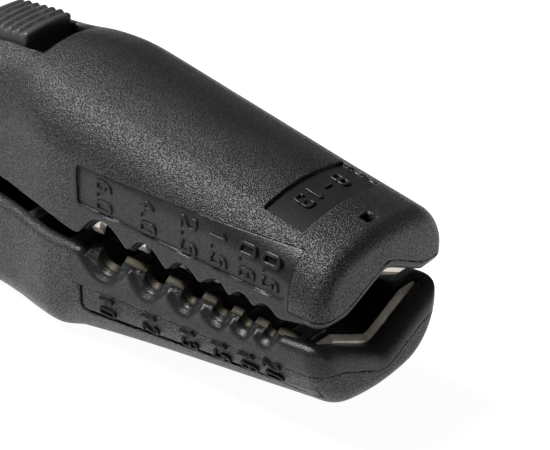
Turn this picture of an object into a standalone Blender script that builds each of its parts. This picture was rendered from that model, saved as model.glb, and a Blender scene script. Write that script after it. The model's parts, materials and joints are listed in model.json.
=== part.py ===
"""Cable and wire stripper: two hinged halves with mouth blades, notched wire blades and a thumb lock.

Every shape is written in the jaw frame, in millimetres: +X runs to the nose, +Y to the far side,
+Z up, and z = 0 is the plane between the jaws. The empty tool_frame puts it on the ground plane.
"""
import bpy
import bmesh
import math
from mathutils import Matrix, Vector

MM = 0.001

# ---- where the jaw frame sits: the tool is centred on the world origin, resting on its underside
JAW_X = 34.0
JAW_Z = 25.6

# ---- pivots
HINGE = (-92.0, 0.0, 0.0)
LOCK = (-52.0, 0.0, 25.0)

# ---- outer body: x, half width, outer height, corner radius, crown
UPPER_STATIONS = [
    (-100.0, 7.5, 8.0, 3.0, 0.6), (-99.2, 9.6, 10.6, 4.0, 0.8), (-97.0, 11.4, 13.2, 5.5, 1.0),
    (-92.0, 12.5, 15.8, 6.0, 1.2), (-80.0, 12.8, 20.4, 6.5, 1.4), (-66.0, 13.0, 25.0, 7.0, 1.5),
    (-58.0, 13.2, 26.7, 7.0, 1.5), (-52.0, 13.5, 27.3, 7.0, 1.5), (-47.0, 14.2, 27.6, 7.0, 1.5),
    (-41.0, 15.6, 27.9, 7.0, 1.5), (-35.0, 16.7, 27.5, 7.0, 1.5), (-29.0, 17.0, 26.5, 7.0, 1.5),
    (-10.0, 17.0, 23.3, 7.0, 1.5), (10.0, 17.0, 19.9, 7.0, 1.5), (28.0, 17.0, 16.8, 6.5, 1.4),
    (29.8, 16.6, 16.2, 6.3, 1.4), (31.3, 15.6, 14.9, 5.6, 1.2), (32.0, 14.0, 13.2, 4.6, 1.0),
]
LOWER_STATIONS = [
    (-100.0, 7.5, -12.0, 3.0, 0.6), (-99.0, 9.8, -16.0, 4.0, 0.6), (-96.0, 11.6, -21.5, 5.5, 0.4),
    (-92.0, 12.5, -24.3, 6.0, 0.2), (-87.0, 12.7, -25.6, 6.0, 0.0), (-66.0, 13.0, -25.6, 6.0, 0.0),
    (-54.0, 13.3, -25.6, 6.2, 0.0), (-47.0, 14.2, -25.6, 6.4, 0.0), (-41.0, 15.6, -25.6, 6.8, 0.0),
    (-35.0, 16.7, -25.6, 7.2, 0.0), (-29.0, 17.0, -25.0, 7.6, 0.6), (-10.0, 17.0, -22.5, 8.0, 1.0),
    (10.0, 17.0, -19.9, 8.0, 1.0), (27.0, 17.0, -17.7, 7.0, 1.0), (29.4, 16.6, -17.0, 6.6, 1.0),
    (31.1, 15.6, -15.6, 6.0, 0.8), (32.0, 14.0, -13.8, 5.0, 0.8),
]
CORNER_STEPS = 5
CROWN_STEPS = 4
WALL = 2.4

# ---- edges of the two jaws: centres of the six wire notches with the edge height at each,
# and the crests between them
NOTCH_X = (-20.2, -9.7, -0.5, 7.6, 13.3, 18.6)
CREST_X = (-26.5, -14.5, -5.0, 3.6, 10.4, 16.0, 21.5)
UPPER_NOTCH_Z = (4.6, 4.1, 3.7, 3.7, 3.5, 3.4)
UPPER_CREST_Z = (0.0, 1.1, 1.0, 1.5, 1.8, 2.0, 2.0)
LOWER_NOTCH_Z = (-7.0, -6.4, -5.7, -5.1, -4.5, -4.1)
LOWER_CREST_Z = (-2.9, -2.7, -3.0, -3.1, -3.0, -2.8, -2.0)
NOSE_Z = (2.5, -1.4)
HANDLE_Z = (1.7, -3.8)
UPPER_SHOULDER = ((-34.0, 1.3), (-31.0, 0.7), (-28.5, 0.1))
LOWER_SHOULDER = ((-34.0, -3.75), (-31.0, -3.5), (-28.5, -3.2))
NOTCH_STEPS = 4

# ---- channel for the cable, and the two vees of the mouth (centre height, height at the lobes)
CHANNEL = (-25.4, 26.4, 9.5)
CHANNEL_ROOF = 10.8
CHANNEL_FLOOR = -9.6
VEE_HALF = 11.5
UPPER_VEE = (7.7, 1.83)
LOWER_VEE = (-7.4, -1.23)
LIP_ROLL = {'upper': (30.3, 1.0), 'lower': (28.7, -1.15)}

# ---- seams between covers and jaw inserts
UPPER_SEAM_Z = 14.75
UPPER_LIP_SEAM = (9.6, 4.3)
LOWER_LIP_SEAM = (-12.2, -7.0)
SEAM_SLOPE = 0.067
HEAD_X = (-28.0, 24.0)
GAP = 0.12

# ---- blades
WIRE_BLADE_Y = (-14.7, -13.3)
WIRE_BLADE_X = (-25.2, 24.0)
LOWER_BLADE_CREST = (-2.3, 0.012)
BLADE_NOTCH_X = (-19.8, -9.0, -0.2, 7.1, 12.9, 18.4)
BLADE_NOTCH_HALF = (2.9, 2.35, 2.05, 1.75, 1.5, 1.15)
LOWER_BLADE_DEPTH = (3.0, 2.7, 2.2, 1.7, 1.5, 1.2)
UPPER_DEPTH_RATIO = 1.1
BLADE_CLOSED_GAP = 0.3
CLOSED_DEG = 1.6
SHEATH_BLADE_X = (26.9, 28.1)
SHEATH_BLADE_HALF = 13.6
UPPER_SHEATH_EDGE = (5.3, -0.5, 8.2)
LOWER_SHEATH_EDGE = (-7.2, 0.49, 9.6)
PIN_R = 1.0

# ---- hinge
HINGE_R = 2.0
HINGE_BORE_R = 2.2
EAR_R = 5.0
LOWER_EAR_Y = (9.7, 12.4)
UPPER_EAR_Y = (6.5, 9.3)
SPRING_R = 3.9
SPRING_WIRE_R = 0.75

# ---- thumb lock
DETENT_SCREW_X = -66.8
CATCH = (-44.5, -6.9)
CATCH_R = 1.5
CATCH_HALF = 13.5
# keel that carries the flat underside forward below the head: ends, half width, front chamfer
KEEL_X = (-28.5, -12.0)
KEEL_HALF = 4.0
KEEL_CHAMFER = 0.7


def new_object(name, mesh, group, material, cutter=False):
    obj = bpy.data.objects.new(name, mesh)
    (CUTTERS if cutter else PARTS).objects.link(obj)
    obj.parent = GROUPS[group]
    mesh.transform(Matrix.Translation(-Vector(PIVOTS[group])))
    mesh.transform(Matrix.Scale(MM, 4))
    if cutter:
        obj.hide_render = True
        obj.display_type = 'WIRE'
    else:
        mesh.materials.append(material)
    return obj


def boolean(obj, tool, operation='DIFFERENCE'):
    mod = obj.modifiers.new(operation.lower(), 'BOOLEAN')
    mod.operation = operation
    mod.solver = 'EXACT'
    mod.object = tool


def outline(points, lo, hi, axis):
    """A flat outline filled and extruded from lo to hi along axis; points are the other two axes."""
    curve = bpy.data.curves.new('outline', 'CURVE')
    curve.dimensions = '2D'
    curve.fill_mode = 'BOTH'
    curve.extrude = (hi - lo) / 2
    spline = curve.splines.new('POLY')
    spline.points.add(len(points) - 1)
    for point, (a, b) in zip(spline.points, points):
        point.co = (a, b, 0.0, 1.0)
    spline.use_cyclic_u = True
    holder = bpy.data.objects.new('outline', curve)
    mesh = bpy.data.meshes.new_from_object(holder)
    bpy.data.objects.remove(holder)
    bpy.data.curves.remove(curve)
    mid = (hi + lo) / 2
    turns = {
        'x': Matrix(((0, 0, 1, mid), (1, 0, 0, 0), (0, 1, 0, 0), (0, 0, 0, 1))),
        'y': Matrix(((1, 0, 0, 0), (0, 0, -1, mid), (0, 1, 0, 0), (0, 0, 0, 1))),
        'z': Matrix(((1, 0, 0, 0), (0, 1, 0, 0), (0, 0, 1, mid), (0, 0, 0, 1))),
    }
    mesh.transform(turns[axis])
    bm = bmesh.new()
    bm.from_mesh(mesh)
    bmesh.ops.remove_doubles(bm, verts=bm.verts, dist=0.0001)
    bmesh.ops.recalc_face_normals(bm, faces=bm.faces)
    bm.to_mesh(mesh)
    bm.free()
    return mesh


def block(x, y, z):
    """A box between the given pairs of limits."""
    bm = bmesh.new()
    bmesh.ops.create_cube(bm, size=1.0)
    bmesh.ops.scale(bm, vec=(x[1] - x[0], y[1] - y[0], z[1] - z[0]), verts=bm.verts)
    centre = ((x[0] + x[1]) / 2, (y[0] + y[1]) / 2, (z[0] + z[1]) / 2)
    bmesh.ops.translate(bm, vec=centre, verts=bm.verts)
    mesh = bpy.data.meshes.new('block')
    bm.to_mesh(mesh)
    bm.free()
    return mesh


def rod(radius, start, end, segments=20):
    """A cylinder from start to end."""
    a, b = Vector(start), Vector(end)
    bm = bmesh.new()
    bmesh.ops.create_cone(bm, cap_ends=True, segments=segments, radius1=radius, radius2=radius,
                          depth=(b - a).length)
    turn = Vector((0, 0, 1)).rotation_difference(b - a).to_matrix().to_4x4()
    bmesh.ops.transform(bm, matrix=Matrix.Translation((a + b) / 2) @ turn, verts=bm.verts)
    mesh = bpy.data.meshes.new('rod')
    bm.to_mesh(mesh)
    bm.free()
    return mesh


def turned(profile, start, direction, segments=24):
    """A solid of revolution: profile lists (radius, distance along direction) from one cap to the other."""
    bm = bmesh.new()
    verts = [bm.verts.new((radius, 0, along)) for radius, along in profile]
    edges = [bm.edges.new(pair) for pair in zip(verts, verts[1:])]
    bmesh.ops.spin(bm, geom=verts + edges, cent=(0, 0, 0), axis=(0, 0, 1), angle=math.tau,
                   steps=segments, use_merge=True)
    bmesh.ops.remove_doubles(bm, verts=bm.verts, dist=0.0001)
    bmesh.ops.recalc_face_normals(bm, faces=bm.faces)
    turn = Vector((0, 0, 1)).rotation_difference(Vector(direction)).to_matrix().to_4x4()
    bmesh.ops.transform(bm, matrix=Matrix.Translation(start) @ turn, verts=bm.verts)
    mesh = bpy.data.meshes.new('turned')
    bm.to_mesh(mesh)
    bm.free()
    return mesh


def swept_wire(points, radius):
    """Round wire along a list of points."""
    curve = bpy.data.curves.new('wire', 'CURVE')
    curve.dimensions = '3D'
    curve.bevel_depth = radius
    curve.bevel_resolution = 1
    curve.use_fill_caps = True
    spline = curve.splines.new('POLY')
    spline.points.add(len(points) - 1)
    for point, co in zip(spline.points, points):
        point.co = (*co, 1.0)
    holder = bpy.data.objects.new('wire', curve)
    mesh = bpy.data.meshes.new_from_object(holder)
    bpy.data.objects.remove(holder)
    bpy.data.curves.remove(curve)
    bm = bmesh.new()
    bm.from_mesh(mesh)
    bmesh.ops.remove_doubles(bm, verts=bm.verts, dist=0.0001)
    bmesh.ops.recalc_face_normals(bm, faces=bm.faces)
    bm.to_mesh(mesh)
    bm.free()
    return mesh


def loft(rings):
    """A closed solid through rings of equal length, capped at both ends."""
    bm = bmesh.new()
    rows = [[bm.verts.new(co) for co in ring] for ring in rings]
    count = len(rows[0])
    for row, after in zip(rows, rows[1:]):
        for i in range(count):
            j = (i + 1) % count
            bm.faces.new((row[i], row[j], after[j], after[i]))
    bm.faces.new(rows[0])
    bm.faces.new(rows[-1])
    bmesh.ops.recalc_face_normals(bm, faces=bm.faces)
    mesh = bpy.data.meshes.new('loft')
    bm.to_mesh(mesh)
    bm.free()
    return mesh


def half_ring(x, half, inner, outer, radius, crown):
    """Cross-section of one half: straight sides, rounded corners and a crowned outer face."""
    side = math.copysign(1.0, outer - inner)
    flat = half - radius
    edge = outer - side * crown
    right = [(half, inner)]
    for i in range(CORNER_STEPS + 1):
        turn = math.pi / 2 * i / CORNER_STEPS
        right.append((flat + radius * math.cos(turn), edge + side * radius * (math.sin(turn) - 1)))
    crown_y = [flat * (1 - 2 * i / CROWN_STEPS) for i in range(1, CROWN_STEPS)]
    middle = [(y, outer - side * crown * (y / flat) ** 2) for y in crown_y]
    left = [(-y, z) for y, z in reversed(right)]
    return [(x, y, z) for y, z in right + middle + left]


def body_rings(stations, inner, inset=0.0, limits=None):
    """Rings of an outer body, or of its hollow when inset and limits are given."""
    rings = []
    side = 1.0 if stations[0][2] > 0 else -1.0
    rows = [list(row) for row in stations]
    if limits:
        rows = [between(stations, limits[0])]
        rows += [list(row) for row in stations if limits[0] < row[0] < limits[1]]
        rows.append(between(stations, limits[1]))
    for x, half, outer, radius, crown in rows:
        rings.append(half_ring(x, half - inset, inner, outer - side * inset,
                               max(radius - inset, 0.8), crown))
    return rings


def between(stations, x):
    """The station at x, by straight interpolation."""
    for a, b in zip(stations, stations[1:]):
        if a[0] <= x <= b[0]:
            t = (x - a[0]) / (b[0] - a[0])
            return [p + (q - p) * t for p, q in zip(a, b)]
    return list(stations[-1])


def notched_edge(notch_z, crest_z, steps=NOTCH_STEPS):
    """The wavy edge through crests and notches, from the rear crest to the front one."""
    stops = []
    for i, x in enumerate(NOTCH_X):
        stops.append((CREST_X[i], crest_z[i]))
        stops.append((x, notch_z[i]))
    stops.append((CREST_X[-1], crest_z[-1]))
    edge = []
    for a, b in zip(stops, stops[1:]):
        for k in range(steps):
            t = k / steps
            blend = 0.5 - 0.5 * math.cos(math.pi * t)
            edge.append((a[0] + (b[0] - a[0]) * t, a[1] + (b[1] - a[1]) * blend))
    edge.append(stops[-1])
    return edge


def vee(centre, lobe, half=VEE_HALF, reach=20.0, shift=0.0):
    """Half-open vee across the mouth: lobe height at both sides, centre height in the middle."""
    blunt = 1.3
    near = centre + (lobe - centre) * blunt / half
    flank = [(half + 1.0, lobe), (half - 0.8, lobe + (centre - lobe) * 0.06), (blunt, near)]
    right = [(reach, lobe)] + flank
    return [(-y, z + shift) for y, z in right] + [(0.0, centre + shift)] + \
        [(y, z + shift) for y, z in reversed(right)]


def close_outline(edge, level):
    """An edge from low to high first coordinate, closed along a straight level."""
    return edge + [(edge[-1][0], level), (edge[0][0], level)]


def trim_tools(group, notch_z, crest_z, nose, handle, far_gap, side):
    """Cutters that open the space between the jaws: notched on the near side, plain on the far side."""
    shoulder = UPPER_SHOULDER if side > 0 else LOWER_SHOULDER
    rear = [(-105.0, handle), (-37.0, handle)] + list(shoulder)
    front = [(27.0, nose - side * 0.1), (40.0, nose + side * 0.3)]
    near = rear + notched_edge(notch_z, crest_z) + front
    far = rear + [(-26.5, crest_z[0]), (-25.0, far_gap), (20.0, far_gap), (22.0, crest_z[-1])] + front
    level = -side * 30.0
    tools = []
    for name, edge, span in (('near', near, (-25.0, 0.0)), ('far', far, (0.0, 25.0))):
        mesh = outline(close_outline(edge, level), span[0], span[1], 'y')
        tools.append(new_object(f'{group}_{name}_trim', mesh, group, None, cutter=True))
    return tools


def cylinder_tool(name, group, radius, start, end, segments=20):
    return new_object(name, rod(radius, start, end, segments), group, None, cutter=True)


def box_tool(name, group, x, y, z):
    return new_object(name, block(x, y, z), group, None, cutter=True)


def upper_insert_region(name, grow):
    """Space of the upper jaw insert inside the upper half; grow widens it for the cover's cut."""
    body = block((HEAD_X[0] - grow, HEAD_X[1] + grow), (-30, 30), (-20, UPPER_SEAM_Z + grow))
    core = block((0.0, 29.2 + grow), (-14.4 - grow, 14.4 + grow), (-20, 13.2 + grow))
    lip = outline(close_outline(vee(*UPPER_LIP_SEAM, reach=30.0, shift=grow), -20.0), 20.0, 40.0, 'x')
    return region(name, 'upper', body, core, lip)


def lower_insert_region(name, grow):
    """Space of the lower jaw insert inside the lower half."""
    rings = []
    for x in (HEAD_X[0] - grow, 40.0):
        drop = -(31.0 - x) * SEAM_SLOPE - grow
        edge = close_outline(vee(*LOWER_LIP_SEAM, reach=30.0, shift=drop), 20.0)
        rings.append([(x, y, z) for y, z in edge])
    core = block((-27.4 - grow, 28.9 + grow), (-15.1 - grow, 15.1 + grow), (-12.6 - grow, 20))
    return region(name, 'lower', loft(rings), core)


def region(name, group, first, *others):
    base = new_object(name, first, group, None, cutter=True)
    for i, mesh in enumerate(others):
        boolean(base, new_object(f'{name}_{i}', mesh, group, None, cutter=True), 'UNION')
    return base


def mouth_tools(group, vee_heights, roof, level):
    """The vee at the nose and the straight channel behind it."""
    lip = outline(close_outline(vee(*vee_heights), level), CHANNEL[1] - 0.5, 45.0, 'x')
    half, knee = CHANNEL[2], 3.0
    side = math.copysign(knee, roof)
    channel = [(-half, level), (-half, roof - side), (knee - half, roof), (half - knee, roof),
               (half, roof - side), (half, level)]
    start, slope = LIP_ROLL[group]
    roll = outline(close_outline(vee(*vee_heights), level), start, 45.0, 'x')
    lean = Matrix.Identity(4)
    lean[2][0] = slope
    lean[2][3] = -slope * start
    roll.transform(lean)
    return [new_object(f'{group}_lip_vee', lip, group, None, cutter=True),
            new_object(f'{group}_lip_roll', roll, group, None, cutter=True),
            new_object(f'{group}_channel', outline(channel, CHANNEL[0], CHANNEL[1], 'x'), group, None,
                       cutter=True)]


def wire_blade_outline(upper):
    """Outline of a notched blade in the x-z plane, and the same depths for both blades."""
    edge = []
    for x, drop in blade_drops():
        lower = LOWER_BLADE_CREST[0] + LOWER_BLADE_CREST[1] * x
        if upper:
            reach = (x - HINGE[0]) * math.radians(CLOSED_DEG) + BLADE_CLOSED_GAP
            edge.append((x, lower + reach + UPPER_DEPTH_RATIO * drop))
        else:
            edge.append((x, lower - drop))
    return close_outline(edge, 9.8 if upper else -10.6)


def blade_drops():
    """Depth of the blade edge below its crest line: a flat land between notches, a round in each."""
    rows = [(WIRE_BLADE_X[0], 0.0)]
    for x, half, depth in zip(BLADE_NOTCH_X, BLADE_NOTCH_HALF, LOWER_BLADE_DEPTH):
        for k in range(-4, 5):
            angle = math.pi / 2 * k / 4
            rows.append((x + half * math.sin(angle), depth * math.cos(angle) if abs(k) < 4 else 0.0))
    rows.append((WIRE_BLADE_X[1], 0.0))
    return rows


def sheath_blade_outline(upper, grow=0.0):
    """Chevron plate whose inner edge cuts the cable's sheath."""
    half = SHEATH_BLADE_HALF + grow
    if upper:
        tip, slope, reach = UPPER_SHEATH_EDGE
        back = 12.0 + grow
        outer = [(half, back), (-half, back)]
    else:
        tip, slope, reach = LOWER_SHEATH_EDGE
        back = -12.0 - grow
        outer = [(half, -7.4 - grow), (1.5, back), (-1.5, back), (-half, -7.4 - grow)]
    end = tip + slope * reach
    inner = [(-half, end), (-reach, end), (-0.8, tip + slope * 0.8), (0.8, tip + slope * 0.8),
             (reach, end), (half, end)]
    if grow:
        lift = -9.0 if upper else 9.0
        inner = [(y, z + lift) for y, z in inner]
    return inner + outer


def pin_places(upper):
    """Centres of the dowels that hold each blade: (start, end) pairs."""
    z_wire = 8.0 if upper else -9.2
    z_sheath = 9.0 if upper else -6.0
    y0 = -16.2 if upper else -14.9
    wire = [((x, y0, z_wire), (x, -11.0, z_wire)) for x in (-22.8, 22.2 if upper else 21.6)]
    sheath = [((24.4, y, z_sheath), (28.9, y, z_sheath)) for y in (-12.2, 12.2)]
    return wire, sheath


def make_jaw(upper):
    """Cover, insert, blades, dowels and screws of one half."""
    group = 'upper' if upper else 'lower'
    side = 1.0 if upper else -1.0
    stations = UPPER_STATIONS if upper else LOWER_STATIONS
    notch_z = UPPER_NOTCH_Z if upper else LOWER_NOTCH_Z
    crest_z = UPPER_CREST_Z if upper else LOWER_CREST_Z
    trims = trim_tools(group, notch_z, crest_z, NOSE_Z[0 if upper else 1], HANDLE_Z[0 if upper else 1],
                       2.2 if upper else -4.3, side)
    make_region = upper_insert_region if upper else lower_insert_region
    outer = body_rings(stations, -side * 2.0)

    cover = new_object(f'{group}_cover', loft(outer), group, SHELL)
    boolean(cover, make_region(f'{group}_insert_space', GAP))
    level = UPPER_SEAM_Z - 2.0 if upper else -9.0
    hollow = loft(body_rings(stations, level, WALL, (-26.0, 26.0 if upper else 24.0)))
    boolean(cover, new_object(f'{group}_head_hollow', hollow, group, None, cutter=True))
    hollow = loft(body_rings(stations, -side * 20.0, WALL, (-97.3, -30.6)))
    boolean(cover, new_object(f'{group}_handle_hollow', hollow, group, None, cutter=True))
    for tool in trims:
        boolean(cover, tool)

    insert = new_object(f'{group}_jaw_insert', loft(outer), group, SHELL)
    boolean(insert, make_region(f'{group}_insert_fill', -GAP), 'INTERSECT')
    for tool in trims + mouth_tools(group, UPPER_VEE if upper else LOWER_VEE,
                                    CHANNEL_ROOF if upper else CHANNEL_FLOOR, -side * 20.0):
        boolean(insert, tool)

    blades(group, insert, cover, upper)
    screws(group, insert, cover, upper, stations)
    return cover, insert


def blades(group, insert, cover, upper):
    """The notched wire blade, the mouth blade, their slots and their dowels."""
    mesh = outline(wire_blade_outline(upper), *WIRE_BLADE_Y, 'y')
    wire = new_object(f'{group}_wire_blade', mesh, group, STEEL)
    slot_z = (-20.0, 10.0) if upper else (-10.8, 20.0)
    slot = box_tool(f'{group}_wire_slot', group, (WIRE_BLADE_X[0] - 0.2, WIRE_BLADE_X[1] + 0.2),
                    (WIRE_BLADE_Y[0] - GAP, WIRE_BLADE_Y[1] + GAP), slot_z)
    boolean(insert, slot)

    mesh = outline(sheath_blade_outline(upper), *SHEATH_BLADE_X, 'x')
    sheath = new_object(f'{group}_sheath_blade', mesh, group, STEEL)
    mesh = outline(sheath_blade_outline(upper, 0.2), SHEATH_BLADE_X[0] - GAP, SHEATH_BLADE_X[1] + GAP, 'x')
    slot = new_object(f'{group}_sheath_slot', mesh, group, None, cutter=True)
    boolean(insert, slot)

    wire_pins, sheath_pins = pin_places(upper)
    names = ((wire, wire_pins, ('rear', 'front'), 'wire'), (sheath, sheath_pins, ('near', 'far'), 'sheath'))
    for blade, places, labels, kind in names:
        for label, (start, end) in zip(labels, places):
            axis = (Vector(end) - Vector(start)).normalized() * 0.2
            bore = cylinder_tool(f'{group}_{kind}_bore_{label}', group, PIN_R + 0.15,
                                 Vector(start) - axis, Vector(end) + axis, 16)
            boolean(blade, bore)
            boolean(insert, bore)
            new_object(f'{group}_{kind}_blade_pin_{label}', rod(PIN_R, start, end, 16), group, PIN_STEEL)
    return wire, sheath


def screws(group, insert, cover, upper, stations):
    """Two screws through the channel's roof or floor into bosses of the cover."""
    side = 1.0 if upper else -1.0
    face = CHANNEL_ROOF if upper else CHANNEL_FLOOR
    seat = face + side * 1.9
    for label, x in (('rear', -12.0), ('front', 14.0)):
        joint = UPPER_SEAM_Z + GAP
        if not upper:
            joint = LOWER_LIP_SEAM[0] - (31.0 - x) * SEAM_SLOPE - 2 * GAP
        skin = between(stations, x)[2] - side * (WALL - 0.8)
        tip = min(skin - 1.4, joint + 4.5) if upper else max(skin + 1.4, joint - 4.5)
        boss = cylinder_tool(f'{group}_boss_{label}', group, 3.0, (x, 0, joint), (x, 0, skin))
        boolean(cover, boss, 'UNION')
        head = cylinder_tool(f'{group}_screw_seat_{label}', group, 2.7, (x, 0, face - side * 3), (x, 0, seat))
        hole = cylinder_tool(f'{group}_screw_hole_{label}', group, 1.45, (x, 0, face), (x, 0, tip + side * 0.4), 16)
        boolean(insert, head)
        boolean(insert, hole)
        boolean(cover, hole)
        drop = seat - side * 0.15
        profile = [(0.0, 0.9), (1.0, 0.9), (1.0, 0.0), (2.1, 0.0), (2.4, 0.4), (2.4, 1.6), (1.25, 1.6),
                   (1.25, abs(tip - drop) + 1.6), (0.0, abs(tip - drop) + 1.6)]
        mesh = turned(profile, (x, 0, drop - side * 1.6), (0, 0, side), 16)
        new_object(f'{group}_insert_screw_{label}', mesh, group, PIN_STEEL)


def finish_upper(cover, insert):
    """Label recesses, locating hole, lock deck and inner hinge ears of the upper half."""
    panel = [(-26.7, 7.4), (-26.0, 6.5), (22.4, 5.9), (23.0, 6.8), (23.0, 14.2), (22.4, 14.9), (-26.0, 14.9),
             (-26.7, 14.2)]
    mesh = outline(panel, -20.0, -16.6, 'y')
    boolean(insert, new_object('upper_label_recess', mesh, 'upper', None, cutter=True))
    rings = []
    for x in (12.9, 21.4):
        row = between(UPPER_STATIONS, x)
        flat = row[1] - row[3]
        crown = [(y, row[2] - 0.35 - row[4] * (y / flat) ** 2) for y in (-10.0, -5.0, 0.0, 5.0, 10.0)]
        rings.append([(x, y, z) for y, z in crown] + [(x, 10.0, 30.0), (x, -10.0, 30.0)])
    boolean(cover, new_object('range_label_recess', loft(rings), 'upper', None, cutter=True))
    boolean(cover, box_tool('locating_hole', 'upper', (26.4, 28.4), (-1.0, 1.0), (14.6, 30.0)))

    deck = box_tool('lock_deck', 'upper', (-64.4, -40.6), (-7.3, 7.3), (20.6, 23.3))
    boolean(cover, deck, 'UNION')
    boolean(cover, box_tool('lock_pocket', 'upper', (-63.2, -43.6), (-6.3, 6.3), (23.1, 35.0)))
    boolean(cover, box_tool('lock_slot', 'upper', (-58.0, -46.8), (-2.2, 2.2), (15.0, 30.0)))
    x = DETENT_SCREW_X
    boolean(cover, cylinder_tool('leaf_boss', 'upper', 2.6, (x, 0, 18.35), (x, 0, 23.3)), 'UNION')
    boolean(cover, cylinder_tool('leaf_screw_hole', 'upper', 1.05, (x, 0, 17.0), (x, 0, 21.7), 16))

    for y0, y1 in (UPPER_EAR_Y, (-UPPER_EAR_Y[1], -UPPER_EAR_Y[0])):
        outside = math.copysign(16.0, y0)
        start = math.copysign(9.45, y0)
        boolean(cover, cylinder_tool(f'ear_relief_{y1:.0f}', 'upper', EAR_R + 0.6, (HINGE[0], start, 0),
                                     (HINGE[0], outside, 0), 28))
        ear = [(HINGE[0] + EAR_R * math.sin(a), -EAR_R * math.cos(a))
               for a in (math.radians(d) for d in range(-90, 91, 15))]
        ear += [(-84.0, 14.6), (-95.6, 10.4)]
        ear = new_object(f'upper_ear_{y1:.0f}', outline(ear, y0, y1, 'y'), 'upper', None, cutter=True)
        boolean(cover, ear, 'UNION')
    boolean(cover, cylinder_tool('upper_hinge_bore', 'upper', HINGE_BORE_R, (HINGE[0], -9.6, 0),
                                 (HINGE[0], 9.6, 0)))


def finish_lower(cover):
    """Label recess, keel, outer hinge ears and catch-pin bore of the lower half."""
    rear, front = KEEL_X
    keel = [(rear, -23.6), (rear, -JAW_Z), (front - KEEL_CHAMFER, -JAW_Z), (front, KEEL_CHAMFER - JAW_Z),
            (front, -22.4)]
    mesh = outline(keel, -KEEL_HALF, KEEL_HALF, 'y')
    boolean(cover, new_object('lower_keel', mesh, 'lower', None, cutter=True), 'UNION')
    panel = [(-26.0, -9.4), (-26.0, -15.6), (-25.3, -16.2), (24.0, -11.0), (24.6, -10.4), (24.6, -7.6)]
    mesh = outline(panel, -20.0, -16.7, 'y')
    boolean(cover, new_object('lower_label_recess', mesh, 'lower', None, cutter=True))
    for y0, y1 in (LOWER_EAR_Y, (-LOWER_EAR_Y[1], -LOWER_EAR_Y[0])):
        ear = [(HINGE[0] - EAR_R * math.sin(a), EAR_R * math.cos(a))
               for a in (math.radians(d) for d in range(-90, 91, 15))]
        ear += [(-96.6, -12.0), (-80.0, -12.0)]
        ear = new_object(f'lower_ear_{y1:.0f}', outline(ear, y0, y1, 'y'), 'lower', None, cutter=True)
        boolean(cover, ear, 'UNION')
    boolean(cover, cylinder_tool('lower_hinge_bore', 'lower', HINGE_BORE_R, (HINGE[0], -15, 0),
                                 (HINGE[0], 15, 0), 22))
    end = CATCH_HALF + 0.25
    boolean(cover, cylinder_tool('catch_bore', 'lower', CATCH_R + 0.15, (CATCH[0], -end, CATCH[1]),
                                 (CATCH[0], end, CATCH[1])))


def make_hinge():
    """Hinge pin with its push-on clip, and the spring that opens the jaws."""
    x, _, z = HINGE
    profile = [(0.0, 0.0), (2.9, 0.0), (3.2, 0.3), (3.2, 0.9), (HINGE_R, 0.9), (HINGE_R, 27.0), (1.6, 27.4),
               (0.0, 27.4)]
    mesh = turned(profile, (x, -13.6, z), (0, 1, 0), 24)
    new_object('hinge_pin', mesh, 'lower', PIN_STEEL)
    ring = new_object('hinge_clip', rod(3.4, (x, 12.65, z), (x, 13.35, z), 24), 'lower', PIN_STEEL)
    boolean(ring, cylinder_tool('clip_bore', 'lower', HINGE_R + 0.12, (x, 12, z), (x, 14, z)))

    turns, steps = 4, 14
    width = 8.2
    points = [(x + 24.0, -width / 2, z - 11.5)]
    start = math.radians(-75)
    span = math.tau * turns + math.radians(150)
    for k in range(turns * steps + 7):
        t = k / (turns * steps + 6)
        a = start - span * t
        points.append((x + SPRING_R * math.cos(a), width * (t - 0.5), z + SPRING_R * math.sin(a)))
    points.append((x + 24.0, width / 2, z + 13.6))
    new_object('return_spring', swept_wire(points, SPRING_WIRE_R), 'lower', SPRING)


def make_lock():
    """Thumb slider with its hook, the retainer under the deck, the catch pin and the detent spring."""
    pad = [(-62.8, 23.3), (-48.6, 23.3), (-48.6, 27.2), (-49.4, 28.5)]
    for k in range(5):
        x = -50.6 - 2.1 * k
        top = 29.2 - 0.24 * k
        pad += [(x, top), (x - 0.5, top - 0.7), (x - 1.2, top - 0.7), (x - 1.7, top - 0.1)]
    pad += [(-61.4, 27.2), (-62.8, 25.8)]
    slider = new_object('lock_slider', outline(pad, -6.0, 6.0, 'y'), 'lock', LOCK_PLASTIC)
    hook = [(-57.6, 25.0), (-57.6, -11.2), (-48.4, -11.2), (-48.0, -10.4), (-48.2, -8.8), (-51.8, -8.6),
            (-51.8, 25.0)]
    stem = new_object('lock_stem', outline(hook, -1.8, 1.8, 'y'), 'lock', None, cutter=True)
    boolean(slider, stem, 'UNION')
    plate = new_object('lock_retainer', block((-60.0, -49.4), (-4.6, 4.6), (19.4, 20.3)), 'lock', PIN_STEEL)
    boolean(plate, box_tool('retainer_hole', 'lock', (-57.8, -51.6), (-2.0, 2.0), (18.0, 22.0)))

    new_object('catch_pin', rod(CATCH_R, (CATCH[0], -CATCH_HALF, CATCH[1]),
                                (CATCH[0], CATCH_HALF, CATCH[1])), 'lower', PIN_STEEL)
    strip = [(-69.2, 18.2), (-64.0, 18.2), (-58.9, 13.6), (-58.3, 12.0), (-58.9, 10.4), (-59.5, 10.6),
             (-59.0, 12.0), (-59.4, 13.2), (-64.2, 17.6), (-69.2, 17.6)]
    leaf = new_object('lock_detent_spring', outline(strip, -2.4, 2.4, 'y'), 'upper', SPRING)
    x = DETENT_SCREW_X
    boolean(leaf, cylinder_tool('leaf_hole', 'upper', 1.1, (x, 0, 17.0), (x, 0, 19.0), 16))
    profile = [(0.0, 0.0), (1.5, 0.0), (1.8, 0.3), (1.8, 1.2), (0.9, 1.2), (0.9, 5.0), (0.0, 5.0)]
    new_object('detent_spring_screw', turned(profile, (x, 0, 16.25), (0, 0, 1), 16), 'upper', PIN_STEEL)


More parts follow.
